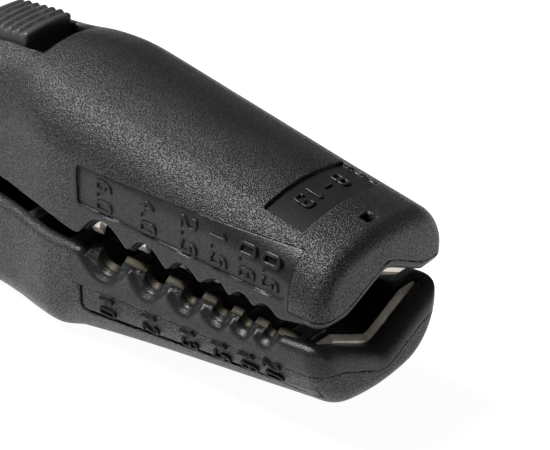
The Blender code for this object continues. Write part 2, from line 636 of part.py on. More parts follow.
def group_empty(name, pivot, parent, origin):
    empty = bpy.data.objects.new(name, None)
    empty.empty_display_size = 0.01
    PARTS.objects.link(empty)
    empty.parent = parent
    empty.location = (Vector(pivot) - Vector(origin)) * MM
    return empty


def material(name, colour, roughness, metallic=0.0):
    mat = bpy.data.materials.new(name)
    mat.use_nodes = True
    shader = mat.node_tree.nodes['Principled BSDF']
    shader.inputs['Base Color'].default_value = (*colour, 1.0)
    shader.inputs['Roughness'].default_value = roughness
    shader.inputs['Metallic'].default_value = metallic
    return mat


def collection(name):
    made = bpy.data.collections.new(name)
    bpy.context.scene.collection.children.link(made)
    return made


def smooth_round_pieces():
    for obj in PARTS.objects:
        if obj.type == 'MESH':
            obj.data.shade_smooth()
            obj.data.set_sharp_from_angle(angle=math.radians(28))


for old in list(bpy.data.objects):
    bpy.data.objects.remove(old)

PARTS = collection('wire_stripper')
CUTTERS = collection('cutters')
SHELL = material('black_plastic', (0.028, 0.028, 0.03), 0.5)
LOCK_PLASTIC = material('lock_plastic', (0.035, 0.035, 0.037), 0.42)
STEEL = material('blade_steel', (0.62, 0.6, 0.56), 0.28, 1.0)
PIN_STEEL = material('pin_steel', (0.5, 0.5, 0.51), 0.35, 1.0)
SPRING = material('spring_steel', (0.4, 0.4, 0.42), 0.38, 1.0)

PIVOTS = {'lower': (0.0, 0.0, 0.0), 'upper': HINGE, 'lock': LOCK}
FRAME = group_empty('tool_frame', (JAW_X, 0.0, JAW_Z), None, (0.0, 0.0, 0.0))
GROUPS = {'lower': FRAME}
GROUPS['upper'] = group_empty('upper_half', HINGE, FRAME, (0.0, 0.0, 0.0))
GROUPS['lock'] = group_empty('lock', LOCK, GROUPS['upper'], HINGE)

upper_cover, upper_insert = make_jaw(True)
lower_cover, lower_insert = make_jaw(False)
finish_upper(upper_cover, upper_insert)
finish_lower(lower_cover)
make_hinge()
make_lock()
smooth_round_pieces()
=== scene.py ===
"""Looks of the cable and wire stripper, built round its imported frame.

Shapes are written in millimetres in the jaw frame: +X to the nose, +Y to the far side, z = 0 between the
jaws. The four plastic mouldings come from signed distance functions meshed here, so that their edges,
funnels and lips are rounded as moulded plastic is; pins, springs and blades are turned, swept or lofted.
"""
import json
import math

import bmesh
import bpy
import numpy as np
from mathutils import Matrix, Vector


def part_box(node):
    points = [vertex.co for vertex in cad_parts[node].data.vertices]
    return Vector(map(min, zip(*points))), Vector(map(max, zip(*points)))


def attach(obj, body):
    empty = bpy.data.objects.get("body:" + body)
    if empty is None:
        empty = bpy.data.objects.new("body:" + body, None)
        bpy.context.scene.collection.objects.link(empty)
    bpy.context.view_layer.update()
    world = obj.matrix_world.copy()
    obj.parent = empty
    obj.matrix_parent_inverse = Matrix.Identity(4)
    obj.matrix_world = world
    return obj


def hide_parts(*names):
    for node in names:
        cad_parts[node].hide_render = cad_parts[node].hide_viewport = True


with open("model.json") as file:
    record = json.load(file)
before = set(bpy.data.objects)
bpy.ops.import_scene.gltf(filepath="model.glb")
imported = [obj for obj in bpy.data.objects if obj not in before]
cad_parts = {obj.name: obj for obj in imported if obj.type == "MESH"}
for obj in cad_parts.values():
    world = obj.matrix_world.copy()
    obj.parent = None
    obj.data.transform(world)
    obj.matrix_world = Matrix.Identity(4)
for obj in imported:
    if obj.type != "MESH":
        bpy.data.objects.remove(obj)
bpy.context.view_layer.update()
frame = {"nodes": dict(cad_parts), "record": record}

MM = 0.001
HINGE = (-92.0, 0.0, 0.0)
HINGE_ROW = [j for j in frame["record"]["behaviour"]["joints"] if j["name"] == "jaw_hinge"][0]["pos_m"]
ORIGIN = Vector([row / MM - jaw for row, jaw in zip(HINGE_ROW, HINGE)])

# ------------------------------------------------------------------ materials


class Nodes:
    """Short helper to add and join shader nodes."""

    def __init__(self, name):
        self.mat = bpy.data.materials.new(name)
        self.mat.use_nodes = True
        self.tree = self.mat.node_tree
        self.shader = self.tree.nodes["Principled BSDF"]
        self.place = self.add("ShaderNodeTexCoord").outputs["Object"]

    def add(self, kind, **settings):
        node = self.tree.nodes.new(kind)
        for key, value in settings.items():
            if isinstance(value, bpy.types.NodeSocket):
                self.tree.links.new(value, node.inputs[key])
            elif hasattr(node, key):
                setattr(node, key, value)
            else:
                node.inputs[key].default_value = value
        return node

    def link(self, source, target):
        self.tree.links.new(source, target)

    def noise(self, scale, detail=2.0, rough=0.5, stretch=None):
        vector = self.place
        if stretch:
            vector = self.math3("MULTIPLY", vector, stretch)
        node = self.add("ShaderNodeTexNoise", Vector=vector, Scale=scale, Detail=detail, Roughness=rough)
        return node.outputs["Fac"]

    def cells(self, scale):
        node = self.add("ShaderNodeTexVoronoi", Vector=self.place, Scale=scale)
        return node.outputs["Distance"]

    def math3(self, operation, vector, by):
        node = self.add("ShaderNodeVectorMath", operation=operation)
        self.link(vector, node.inputs[0])
        node.inputs[1].default_value = by
        return node.outputs[0]

    def calc(self, operation, a, b):
        node = self.add("ShaderNodeMath", operation=operation)
        for socket, value in zip(node.inputs, (a, b)):
            if isinstance(value, bpy.types.NodeSocket):
                self.link(value, socket)
            else:
                socket.default_value = value
        return node.outputs[0]

    def span(self, value, low, high, out_low, out_high):
        node = self.add("ShaderNodeMapRange", interpolation_type="SMOOTHSTEP")
        self.link(value, node.inputs["Value"])
        for key, number in (("From Min", low), ("From Max", high), ("To Min", out_low), ("To Max", out_high)):
            node.inputs[key].default_value = number
        return node.outputs["Result"]

    def mix(self, factor, dark, light):
        node = self.add("ShaderNodeMix", data_type="RGBA")
        self.link(factor, node.inputs["Factor"])
        for socket, colour in ((node.inputs[6], dark), (node.inputs[7], light)):
            if isinstance(colour, bpy.types.NodeSocket):
                self.link(colour, socket)
            else:
                socket.default_value = (*colour, 1.0)
        return node.outputs[2]

    def bump(self, height, strength, distance):
        node = self.add("ShaderNodeBump", Strength=strength, Distance=distance, Height=height)
        return node.outputs["Normal"]

    def out(self, colour, roughness, normal, metallic=0.0):
        for key, value in (("Base Color", colour), ("Roughness", roughness), ("Normal", normal)):
            self.link(value, self.shader.inputs[key])
        self.shader.inputs["Metallic"].default_value = metallic
        return self.mat


PIT_SIZE, GRAIN_SIZE, GRAIN_DEPTH = 0.00027, 0.00014, 0.00010
MARK_DEPTH = 0.00002


def grained_plastic(name, base, grain, rough_low, rough_high, gloss=0.22):
    """Moulded plastic with a spark-eroded grain; grain is its depth, gloss its middle specular level."""
    n = Nodes(name)
    pits = n.cells(1.0 / PIT_SIZE)
    fine = n.noise(1.0 / GRAIN_SIZE, 2.0, 0.6)
    broad = n.noise(70.0, 3.0, 0.55)
    height = n.calc("ADD", pits, n.calc("MULTIPLY", fine, 1.1))
    normal = n.bump(height, grain, GRAIN_DEPTH)
    glint = n.span(height, 0.75, 1.35, gloss - 0.24 * grain, gloss + 0.42 * grain)
    n.link(glint, n.shader.inputs["Specular IOR Level"])
    edge = n.add("ShaderNodeNewGeometry").outputs["Pointiness"]
    patches = n.span(n.noise(900.0), 0.4, 0.7, 0.2, 1.0)
    wear = n.calc("MULTIPLY", n.span(edge, 0.505, 0.56, 0.0, 1.0), patches)
    dark = tuple(c * 0.86 for c in base)
    light = tuple(c * 1.16 for c in base)
    worn = tuple(c * 2.1 + 0.004 for c in base)
    colour = n.mix(wear, n.mix(n.span(broad, 0.3, 0.7, 0.0, 1.0), dark, light), worn)
    rough = n.calc("ADD", n.span(broad, 0.25, 0.75, rough_low, rough_high),
                   n.span(fine, 0.3, 0.7, -0.05, 0.05))
    return n.out(colour, rough, normal)


def ground_steel(name, base, direction, rough=0.3, scale=5200.0):
    """Steel with fine grinding marks along one direction, and a little colour from handling."""
    n = Nodes(name)
    marks = n.noise(scale, 3.0, 0.6, stretch=direction)
    cloud = n.noise(260.0, 3.0, 0.6)
    light = tuple(min(1.0, c * 1.12) for c in base)
    dark = tuple(c * 0.78 for c in base)
    colour = n.mix(n.span(cloud, 0.3, 0.7, 0.0, 1.0), dark, light)
    roughness = n.calc("ADD", n.span(marks, 0.3, 0.7, rough - 0.07, rough + 0.09),
                       n.span(cloud, 0.3, 0.7, -0.04, 0.06))
    normal = n.bump(marks, 0.25, MARK_DEPTH)
    return n.out(colour, roughness, normal, metallic=1.0)


PLASTIC = grained_plastic("black_moulded_plastic", (0.0064, 0.0067, 0.0071), 0.8, 0.33, 0.41)
SATIN = grained_plastic("black_jaw_plastic", (0.0068, 0.0071, 0.0075), 0.32, 0.32, 0.40)
LOCK_PLASTIC = grained_plastic("black_lock_plastic", (0.026, 0.0262, 0.027), 0.4, 0.38, 0.48)
RECESS = grained_plastic("smooth_recess_plastic", (0.0065, 0.0068, 0.0072), 0.15, 0.30, 0.38, 0.2)
# painted shade: the lower digits get plastic at half the body's colour and with little gloss, so that their
# raised strokes look shaded
NUMERAL_PAINTED_SHADE = grained_plastic("numeral_plastic_painted_shade", (0.0030, 0.0032, 0.0035), 0.12, 0.30, 0.38, 0.07)
# painted shade: the upper and range digits get plastic a little darker and duller than the body, so that they
# look shaded
SCALE_PAINTED_SHADE = grained_plastic("scale_plastic_painted_shade", (0.0055, 0.0058, 0.0062), 0.2, 0.30, 0.38, 0.16)
# painted shade: the lower wire blade's steel is about a twelfth as bright as the other blades' steel, so that
# it reflects as dimly as shaded steel
BLADE_STEEL_PAINTED_SHADE = ground_steel("ground_blade_steel_painted_shade", (0.045, 0.041, 0.032), (0.12, 1.0, 1.0), 0.48)
MOUTH_BLADE = ground_steel("polished_blade_steel", (0.56, 0.51, 0.45), (1.0, 0.12, 1.0), 0.40)
PIN = ground_steel("turned_pin_steel", (0.56, 0.56, 0.57), (1.0, 0.1, 1.0), 0.3)
SPRING = ground_steel("drawn_spring_steel", (0.42, 0.42, 0.44), (0.3, 0.3, 0.3), 0.3)

# ------------------------------------------------------------------ fields


def curve(rows, column):
    """Smooth curve through the given column of the rows, without overshoot."""
    xs = np.array([row[0] for row in rows], float)
    vs = np.array([row[column] for row in rows], float)
    step = np.diff(xs)
    rise = np.diff(vs) / step
    slope = np.zeros(len(xs))
    slope[0], slope[-1] = rise[0], rise[-1]
    same = rise[:-1] * rise[1:] > 0
    total = np.where(same, rise[:-1] + rise[1:], 1.0)
    slope[1:-1] = np.where(same, 2 * rise[:-1] * rise[1:] / total, 0.0)

    def at(x):
        x = np.clip(x, xs[0], xs[-1])
        i = np.clip(np.searchsorted(xs, x, side="right") - 1, 0, len(xs) - 2)
        t = (x - xs[i]) / step[i]
        t2, t3 = t * t, t * t * t
        return ((2 * t3 - 3 * t2 + 1) * vs[i] + (t3 - 2 * t2 + t) * step[i] * slope[i]
                + (3 * t2 - 2 * t3) * vs[i + 1] + (t3 - t2) * step[i] * slope[i + 1])
    return at


def both(a, b, r):
    """Intersection of two fields with an edge of radius r."""
    u = np.maximum(a + r, 0.0)
    v = np.maximum(b + r, 0.0)
    return np.minimum(np.maximum(a, b), -r) + np.sqrt(u * u + v * v)


def cut(a, b, r=0.12):
    """Field a with field b taken away, edges of radius r."""
    return both(a, -b, r)


def join(a, b, r=0.3):
    """Union of two fields with a fillet of radius r."""
    return -both(-a, -b, r)


def slab(v, low, high):
    return np.maximum(low - v, v - high)


def box(x, y, z, xs, ys, zs):
    return np.maximum(np.maximum(slab(x, *xs), slab(y, *ys)), slab(z, *zs))


def disc(a, b, centre, radius):
    return np.hypot(a - centre[0], b - centre[1]) - radius


def steps(t, count):
    """A flight of small rounded steps from 0 to 1."""
    t = np.clip(t, 0.0, 1.0) * count
    whole = np.floor(t)
    part = np.clip((t - whole - 0.5) / 0.3 + 0.5, 0.0, 1.0)
    return (whole + part) / count


# In every function of a half, z is the height away from the plane between the jaws.
# outer form of each half: x, half width, height, corner radius, crown per mm2
UPPER_FORM = [
    (-100.0, 12.2, 13.6, 5.5, 0.024), (-92.0, 12.5, 15.8, 6.0, 0.028), (-80.0, 12.8, 20.4, 6.5, 0.030),
    (-66.0, 13.0, 25.0, 7.0, 0.030), (-58.0, 13.2, 26.7, 7.0, 0.028), (-52.0, 13.5, 27.3, 7.0, 0.026),
    (-47.0, 14.2, 27.6, 7.0, 0.024),
    (-41.0, 15.6, 27.9, 7.0, 0.018), (-35.0, 16.7, 27.5, 7.0, 0.015), (-29.0, 17.0, 26.5, 7.0, 0.014),
    (-10.0, 17.0, 23.3, 7.0, 0.014), (10.0, 17.0, 19.9, 7.0, 0.014), (28.0, 17.0, 16.8, 6.8, 0.013),
    (34.0, 17.0, 15.8, 6.8, 0.013),
]
LOWER_FORM = [
    (-100.0, 12.2, 19.0, 6.0, 0.006), (-97.0, 12.3, 22.4, 6.0, 0.004), (-92.0, 12.5, 24.9, 6.0, 0.0),
    (-87.0, 12.7, 25.6, 6.0, 0.0), (-66.0, 13.0, 25.6, 6.0, 0.0), (-54.0, 13.3, 25.6, 6.2, 0.0),
    (-47.0, 14.2, 25.6, 6.4, 0.0), (-41.0, 15.6, 25.6, 6.8, 0.0), (-35.0, 16.7, 25.5, 7.3, 0.0),
    (-29.0, 17.0, 24.9, 7.8, 0.007), (-10.0, 17.0, 22.5, 8.4, 0.011), (10.0, 17.0, 19.9, 8.8, 0.012),
    (27.0, 17.0, 17.7, 9.4, 0.012), (34.0, 17.0, 16.8, 9.4, 0.012),
]
FORM = {side: [curve(form, column) for column in (1, 2, 3, 4)]
        for side, form in ((1, UPPER_FORM), (-1, LOWER_FORM))}
NOSE_X, NOSE_R = 32.0, {1: 2.7, -1: 4.0}
TAIL_X, TAIL_R = -100.0, 6.0
WALL = 2.4

# jaw edges: centres of the notches and crests, and their heights; bowl and knuckle shape the flanks
# between them, rear and front carry the edge on as (x, height)
NOTCH_X = (-20.2, -9.7, -0.5, 7.6, 13.3, 18.6)
CREST_X = (-26.5, -13.9, -4.5, 3.5, 10.4, 16.0, 21.5)
EDGE = {
    1: dict(notch=(4.85, 4.4, 3.95, 3.9, 3.7, 3.55), crest=(0.0, 1.3, 1.0, 1.6, 1.75, 1.95, 2.0),
            bowl=2.3, knuckle=1.5, rear=((-105, 1.7), (-37, 1.7), (-34, 1.3), (-31, 0.7), (-28.5, 0.1)),
            front=((27.0, 2.35), (40.0, 2.8)), far=2.2),
    -1: dict(notch=(7.4, 6.8, 6.1, 5.5, 4.9, 4.5), crest=(3.4, 2.95, 3.2, 3.3, 3.2, 3.0, 2.2),
             bowl=2.2, knuckle=1.3, rear=((-105, 3.8), (-37, 3.8), (-34, 3.75), (-31, 3.6), (-28.5, 3.5)),
             front=((27.0, 1.5), (40.0, 1.2)), far=4.3),
}
SIDE_ROUND = {1: 0.45, -1: 1.5}
# the four points that the far side's plain edge line runs through
PLAIN_X = (-28.5, -26.5, 22.0, 27.0)
# the flare of a notch: steps over its inner part, an even slope over its outer part
FLARE_STEPS, FLARE_INNER_Y, FLARE_OUTER_Y = 3, -14.9, -15.6
EDGE_SPACING, FLANK_POINTS = 0.1, 12

VEE = {1: dict(lobe=2.15, half=11.5, slope=0.55, roll=1.3),
       -1: dict(lobe=1.5, half=14.0, slope=0.53, roll=3.4)}
MOUTH_X = 26.2
CHANNEL_X, CHANNEL_HALF = (-25.4, 26.4), 9.5
CHANNEL_TOP = {1: 10.8, -1: 9.6}
BLADE_SLOT_TOP = {1: 10.0, -1: 10.8}

# the fine lines between cover and jaw insert
SEAM_Z, HEAD_X, GAP = 14.75, (-28.0, 24.0), 0.005
LIP_SEAM = {1: dict(lobe=4.3, half=10.8, slope=0.56), -1: dict(lobe=7.0, half=12.3, slope=0.48)}
SEAM_SLOPE, SEAM_END = 0.067, 31.0

EAR_R, HINGE_BORE = 5.0, 2.2
EAR_Y = {1: (6.5, 9.3), -1: (9.7, 12.4)}

# seats of the hardware
SCREW_X = (-12.0, 14.0)
WIRE_PIN_X = {1: (-22.8, 22.2), -1: (-22.8, 21.6)}
WIRE_PIN_Z = {1: 8.0, -1: 9.2}
WIRE_PIN_Y = {1: (-15.5, -11.0), -1: (-14.9, -11.0)}
WIRE_BORE_Y = {1: (-15.6, -10.9), -1: (-15.0, -10.9)}
MOUTH_PIN_Y, MOUTH_PIN_Z = (-12.2, 12.2), {1: 9.0, -1: 6.0}
MOUTH_PIN_X, MOUTH_BORE_X = (24.4, 28.9), (24.2, 29.0)
PIN_R, PIN_BORE_R = 1.0, 1.12
CATCH_X, CATCH_Z = -44.5, 6.9
DETENT_SCREW_X = -66.8

# panels: the upper numbers, the groove round the lower numbers, the range on the top; the keel
PANEL_REAR, PANEL_FRONT, PANEL_TOP = -26.0, 23.4, 14.72
PANEL_FLOOR, PANEL_EDGE, PANEL_EDGE_SLOPE = -16.52, 6.4, 0.0122
GROOVE_REAR, GROOVE_FRONT, GROOVE_DEPTH, GROOVE_HALF = -25.9, 23.9, 0.6, 0.42
LINE_X, LINE_DEPTH, LINE_HALF = 24.7, 0.07, 0.06
RANGE_X, RANGE_HALF, RANGE_DEPTH, RANGE_TILT = (12.9, 21.8), 10.5, 0.75, 0.03
RANGE_FINISH_X, RANGE_FINISH_HALF = (12.95, 21.75), 10.45
KEEL_X, KEEL_HALF, UNDERSIDE = (-38.0, -12.0), 4.0, 25.6


def edge_table(side):
    """Heights of a scalloped edge along x, as one table."""
    row = EDGE[side]
    stops = []
    for i, x in enumerate(NOTCH_X):
        stops += [(CREST_X[i], row["crest"][i]), (x, row["notch"][i])]
    stops.append((CREST_X[-1], row["crest"][-1]))
    xs, zs = [], []
    for (x0, z0), (x1, z1) in zip(stops, stops[1:]):
        for k in range(FLANK_POINTS):
            t = k / FLANK_POINTS
            xs.append(x0 + (x1 - x0) * t)
            rise = t if x0 in CREST_X else 1.0 - t
            rise = 1.0 - (1.0 - rise) ** row["bowl"]
            rise = rise ** row["knuckle"]
            low, high = (z0, z1) if x0 in CREST_X else (z1, z0)
            zs.append(low + (high - low) * rise)
    xs = [p[0] for p in row["rear"]] + xs + [stops[-1][0]] + [p[0] for p in row["front"]]
    zs = [p[1] for p in row["rear"]] + zs + [stops[-1][1]] + [p[1] for p in row["front"]]
    fine = np.arange(xs[0], xs[-1], EDGE_SPACING)
    height = np.interp(fine, xs, zs)
    reach, spread = 12, 3.5
    kernel = np.exp(-0.5 * (np.arange(-reach, reach + 1) / spread) ** 2)
    padded = np.pad(height, reach, mode="edge")
    return fine, np.convolve(padded, kernel / kernel.sum(), mode="valid")


WIRE_BLADE_X, WIRE_BLADE_Y = (-25.2, 24.0), (-14.7, -13.3)
BLADE_NOTCH_X = (-19.8, -9.0, -0.2, 7.1, 12.9, 18.4)
BLADE_NOTCH_HALF = (2.9, 2.35, 2.05, 1.75, 1.5, 1.15)
BLADE_DEPTH = (3.0, 2.7, 2.2, 1.7, 1.5, 1.2)
LOWER_CREST, LOWER_RISE = 2.3, 0.012
CLOSED, CLOSED_GAP = math.radians(1.6), 0.3


def blade_drops():
    """Depth of a wire blade's edge below its crest line."""
    xs, drops = [WIRE_BLADE_X[0]], [0.0]
    for x, half, depth in zip(BLADE_NOTCH_X, BLADE_NOTCH_HALF, BLADE_DEPTH):
        for k in range(-12, 13):
            angle = math.pi / 2 * k / 12
            xs.append(x + half * math.sin(angle))
            drops.append(depth * math.cos(angle))
    xs.append(WIRE_BLADE_X[1])
    drops.append(0.0)
    return np.array(xs), np.array(drops)


DROP_X, DROP_Z = blade_drops()


def blade_edge(side, x):
    """Height of the wire blade's edge."""
    lower = -LOWER_CREST + LOWER_RISE * x
    drop = np.interp(x, DROP_X, DROP_Z)
    if side < 0:
        return drop - lower
    return lower + (x - HINGE[0]) * CLOSED + CLOSED_GAP + 1.1 * drop


TABLES = {side: edge_table(side) for side in (1, -1)}


def jaw_edge(side, x, y):
    """Height of the jaw's edge over the whole plan: flared scallops on the near side, plain on the far."""
    row = EDGE[side]
    out = np.interp(x, *TABLES[side])
    if side > 0:
        inner = np.maximum(blade_edge(side, x) + 0.35, out - 1.1)
    else:
        inner = blade_edge(side, x) + 0.85
    inner = np.where((x > WIRE_BLADE_X[0]) & (x < WIRE_BLADE_X[1]), np.minimum(inner, out), out)
    stepped = steps((FLARE_INNER_Y - y) / 1.2, FLARE_STEPS)
    sloped = np.clip((FLARE_OUTER_Y - y) / 0.8, 0.0, 1.0)
    near = inner + (out - inner) * (0.6 * stepped + 0.4 * sloped)
    middle = np.clip(np.minimum((x + 26.5) / 1.5, (22.0 - x) / 2.0), 0.0, 1.0)
    ends = (row["rear"][-1][1], row["crest"][0], row["crest"][-1], row["front"][0][1])
    plain = np.interp(x, PLAIN_X, ends)
    plain = np.where((x < PLAIN_X[0]) | (x > PLAIN_X[-1]), out, plain)
    far = plain + (row["far"] - plain) * middle
    return np.where(y < 0, near, far)


def bent(y, row, blunt=1.3, soft=0.8):
    """Height of a vee across the mouth."""
    t = (row["half"] - np.sqrt(y * y + blunt * blunt)) * row["slope"]
    return row["lobe"] + 0.5 * (t + np.sqrt(t * t + soft * soft))


def top_height(side, x, y):
    """Height of the crowned back of one half."""
    _, top, _, crown = FORM[side]
    return top(x) - crown(x) * y * y


def outer_body(side, x, y, z):
    """Outer form of one half, before its nose, edge and mouth are cut."""
    half, top, corner, crown = FORM[side]
    k = crown(x)
    face = (z - (top(x) - k * y * y)) / np.sqrt(1.0 + (2 * k * y) ** 2)
    body = both(np.abs(y) - half(x), face, corner(x))
    return both(body, TAIL_X - x, TAIL_R)


def nose_plane(x, y, z):
    """The slightly domed front."""
    return x - (NOSE_X - 0.5 * (y / 15.0) ** 2 - 0.3 * ((z - 8.0) / 8.0) ** 2)


def half_field(side, x, y, z):
    """One half, cover and jaw together."""
    body = outer_body(side, x, y, z)
    nose = nose_plane(x, y, z)
    body = both(body, nose, NOSE_R[side])
    edge = jaw_edge(side, x, y)
    lean = (jaw_edge(side, x + 0.1, y) - jaw_edge(side, x - 0.1, y)) / 0.2
    trim = (edge - z) / np.sqrt(1.0 + np.minimum(lean * lean, 3.0))
    near = SIDE_ROUND[side] + (2.0 - SIDE_ROUND[side]) * np.clip((x - 22.5) / 5.0, 0.0, 1.0)
    body = both(body, trim, np.where(y < 0, near, np.maximum(near, 0.8)))
    row = VEE[side]
    body = np.maximum(body, both(nose, trim, row["roll"]))
    mouth = (bent(y, row) - z) / math.sqrt(1.0 + row["slope"] ** 2)
    return np.maximum(body, np.minimum(both(nose, mouth, row["roll"]), x - MOUTH_X))


def insert_space(side, x, y, z):
    """Negative inside the room that the jaw insert fills."""
    row = LIP_SEAM[side]
    if side > 0:
        head = np.maximum(slab(x, *HEAD_X), z - SEAM_Z)
        core = np.maximum(np.maximum(slab(x, 0.0, 29.2), np.abs(y) - 14.4), z - 13.2)
        core = np.maximum(core, outer_body(side, x, y, z) + 1.8)
        lip = np.maximum(20.0 - x, z - bent(y, row))
        return np.minimum(np.minimum(head, core), lip)
    core = np.maximum(np.maximum(slab(x, -27.4, 28.9), np.abs(y) - 15.1), z - 12.6)
    lip = np.maximum(HEAD_X[0] - x, z - (bent(y, row) + (SEAM_END - x) * SEAM_SLOPE))
    return np.minimum(core, lip)


def panel_floor(x, z):
    """How far out the floor of the upper number panel lies."""
    along = np.clip((x - PANEL_REAR) / 49.0, 0.0, 1.0)
    rise = z - (13.9 - 3.0 * along)
    return PANEL_FLOOR + 0.02 * (z - 6.3) + 0.16 * (rise + np.sqrt(rise * rise + 0.3))


def label_recess(x, y, z):
    """Panel for the upper numbers, whose floor leans out towards the top."""
    floor = y - panel_floor(x, z)
    front = (x - PANEL_FRONT) + 0.9 * np.maximum(-outer_body(1, x, y, z), 0.0)
    low = PANEL_EDGE - PANEL_EDGE_SLOPE * (x - PANEL_REAR)
    outline = both(both(np.maximum(PANEL_REAR - x, front), low - z, 1.0), z - PANEL_TOP, 1.5)
    return np.maximum(floor, outline)


def label_groove(x, y, z):
    """Bent groove behind and under the lower numbers, and the fine line in front of them."""
    base = 16.05 - (x + 25.3) * 0.0853
    path = np.maximum(x - GROOVE_FRONT, np.abs(both(GROOVE_REAR - x, z - base, 1.6)) - GROOVE_HALF)
    path = np.maximum(path, 10.3 - z)
    line = np.maximum(np.abs(x - LINE_X) - LINE_HALF, 7.6 - z)
    depth = -outer_body(-1, x, y, z)
    groove = np.maximum(path, depth - GROOVE_DEPTH)
    return np.maximum(np.minimum(groove, np.maximum(line, depth - LINE_DEPTH)), y)


def seam_round(x):
    """Edge radius along the seams: open at the nose, tight on the sides."""
    return 0.01 + 0.11 * np.clip((x - 25.0) / 3.0, 0.0, 1.0)


def with_screw_bosses(field, side, wall, x, y, z):
    """Bosses inside the cover for the two screws that hold the insert."""
    for sx in SCREW_X:
        low = SEAM_Z + GAP if side > 0 else 12.2 + (SEAM_END - sx) * SEAM_SLOPE + 0.3
        boss = np.maximum(disc(x, y, (sx, 0), 3.0), slab(z, low, 40.0))
        field = join(field, np.maximum(boss, wall - 0.8), 0.3)
        tip = min(float(FORM[side][1](np.array(sx))) - 2.6, low + 4.9)
        field = cut(field, np.maximum(disc(x, y, (sx, 0), 1.45), z - tip))
    return field


def with_hinge_ears(field, side, wall, x, y, z):
    """The pair of ears round the hinge pin, and room for the other half's pair."""
    side_y = np.abs(y)
    centre = (HINGE[0], 0)
    if side > 0:
        field = cut(field, np.maximum(disc(x, z, centre, EAR_R + 0.6), 9.45 - side_y), 0.2)
    column = np.maximum(slab(x, HINGE[0] - EAR_R, HINGE[0] + EAR_R + 1.5), -z)
    ear = np.maximum(np.minimum(disc(x, z, centre, EAR_R), column), slab(side_y, *EAR_Y[side]))
    ear = np.where(z > 0.0, np.maximum(ear, wall - 1.0), ear)
    field = join(field, ear, 0.3)
    return cut(field, np.maximum(disc(x, z, centre, HINGE_BORE), side_y - 20.0), 0.15)


def with_lock_bay(field, wall, x, y, z):
    """Deck, bay and stem slot of the thumb lock, and the boss of its detent leaf's screw."""
    deck = box(x, y, z, (-64.4, -40.6), (-7.3, 7.3), (20.6, 23.3))
    field = join(field, np.maximum(deck, wall - 1.0), 0.3)
    field = cut(field, box(x, y, z, (-63.2, -43.6), (-6.3, 6.3), (23.1, 40.0)), 0.5)
    field = cut(field, box(x, y, z, (-58.0, -46.8), (-2.2, 2.2), (15.0, 40.0)), 0.2)
    boss = np.maximum(disc(x, y, (DETENT_SCREW_X, 0), 2.6), slab(z, 18.35, 23.2))
    field = join(field, boss, 0.2)
    return cut(field, np.maximum(disc(x, y, (DETENT_SCREW_X, 0), 1.05), slab(z, 17.0, 21.7)))


def with_range_recess(field, x, y, z):
    """Recess of the cable range on the top, and the small square hole in front of it."""
    floor = top_height(1, x, y) - RANGE_DEPTH + RANGE_TILT * (x - RANGE_X[0])
    panel = both(slab(x, *RANGE_X), np.abs(y) - RANGE_HALF, 0.35)
    field = cut(field, np.maximum(panel, floor - z), 0.08)
    return cut(field, box(x, y, z, (26.4, 28.4), (-1.0, 1.0), (14.6, 30.0)), 0.1)


def cover_field(side, x, y, z):
    """Hollow body half with its bosses, ears and openings."""
    wall = outer_body(side, x, y, z) + WALL
    field = both(half_field(side, x, y, z), GAP - insert_space(side, x, y, z), seam_round(x))
    front, level = (26.0, SEAM_Z - 2.0) if side > 0 else (24.0, 9.0)
    head = box(x, y, z, (-26.0, front), (-30, 30), (level, 40))
    handle = slab(x, -97.3, -30.6)
    field = cut(field, np.minimum(np.maximum(wall, head), np.maximum(wall, handle)), 0.4)
    field = with_screw_bosses(field, side, wall, x, y, z)
    if side < 0:
        keel = both(both(slab(x, *KEEL_X), np.abs(y) - KEEL_HALF, 0.8), z - UNDERSIDE, 0.4)
        field = join(field, np.maximum(keel, -1.2 - outer_body(side, x, y, z)), 0.4)
    field = with_hinge_ears(field, side, wall, x, y, z)
    if side > 0:
        return with_range_recess(with_lock_bay(field, wall, x, y, z), x, y, z)
    field = cut(field, np.maximum(disc(x, z, (CATCH_X, CATCH_Z), 1.65), np.abs(y) - 13.75))
    return cut(field, label_groove(x, y, z), 0.12)


def insert_field(side, x, y, z):
    """Jaw insert with its channel, blade slots and bores."""
    field = both(half_field(side, x, y, z), insert_space(side, x, y, z) + GAP, seam_round(x))
    roof = CHANNEL_TOP[side]
    channel = both(slab(x, CHANNEL_X[0], CHANNEL_X[1] + 0.3), np.abs(y) - CHANNEL_HALF, 1.0)
    field = cut(field, both(channel, z - roof, 2.4), 0.25)
    wire = box(x, y, z, (WIRE_BLADE_X[0] - 0.2, WIRE_BLADE_X[1] + 0.2),
               (WIRE_BLADE_Y[0] - 0.12, WIRE_BLADE_Y[1] + 0.12), (-20.0, BLADE_SLOT_TOP[side]))
    field = cut(field, wire)
    back = 12.2 if side > 0 else 12.2 - 0.39 * np.maximum(np.abs(y) - 1.5, 0.0)
    field = cut(field, np.maximum(np.maximum(np.abs(x - 27.5) - 0.72, np.abs(y) - 13.8), z - back))
    for sx in SCREW_X:
        field = cut(field, np.maximum(disc(x, y, (sx, 0), 2.7), z - roof - 1.9))
        field = cut(field, np.maximum(disc(x, y, (sx, 0), 1.45), z - roof - 30.0))
    for x0 in WIRE_PIN_X[side]:
        bore = disc(x, z, (x0, WIRE_PIN_Z[side]), PIN_BORE_R)
        field = cut(field, np.maximum(bore, slab(y, *WIRE_BORE_Y[side])))
    for y0 in MOUTH_PIN_Y:
        bore = disc(y, z, (y0, MOUTH_PIN_Z[side]), PIN_BORE_R)
        field = cut(field, np.maximum(bore, slab(x, *MOUTH_BORE_X)))
    if side > 0:
        field = cut(field, label_recess(x, y, z), 0.12)
    return field


# ------------------------------------------------------------------ meshing


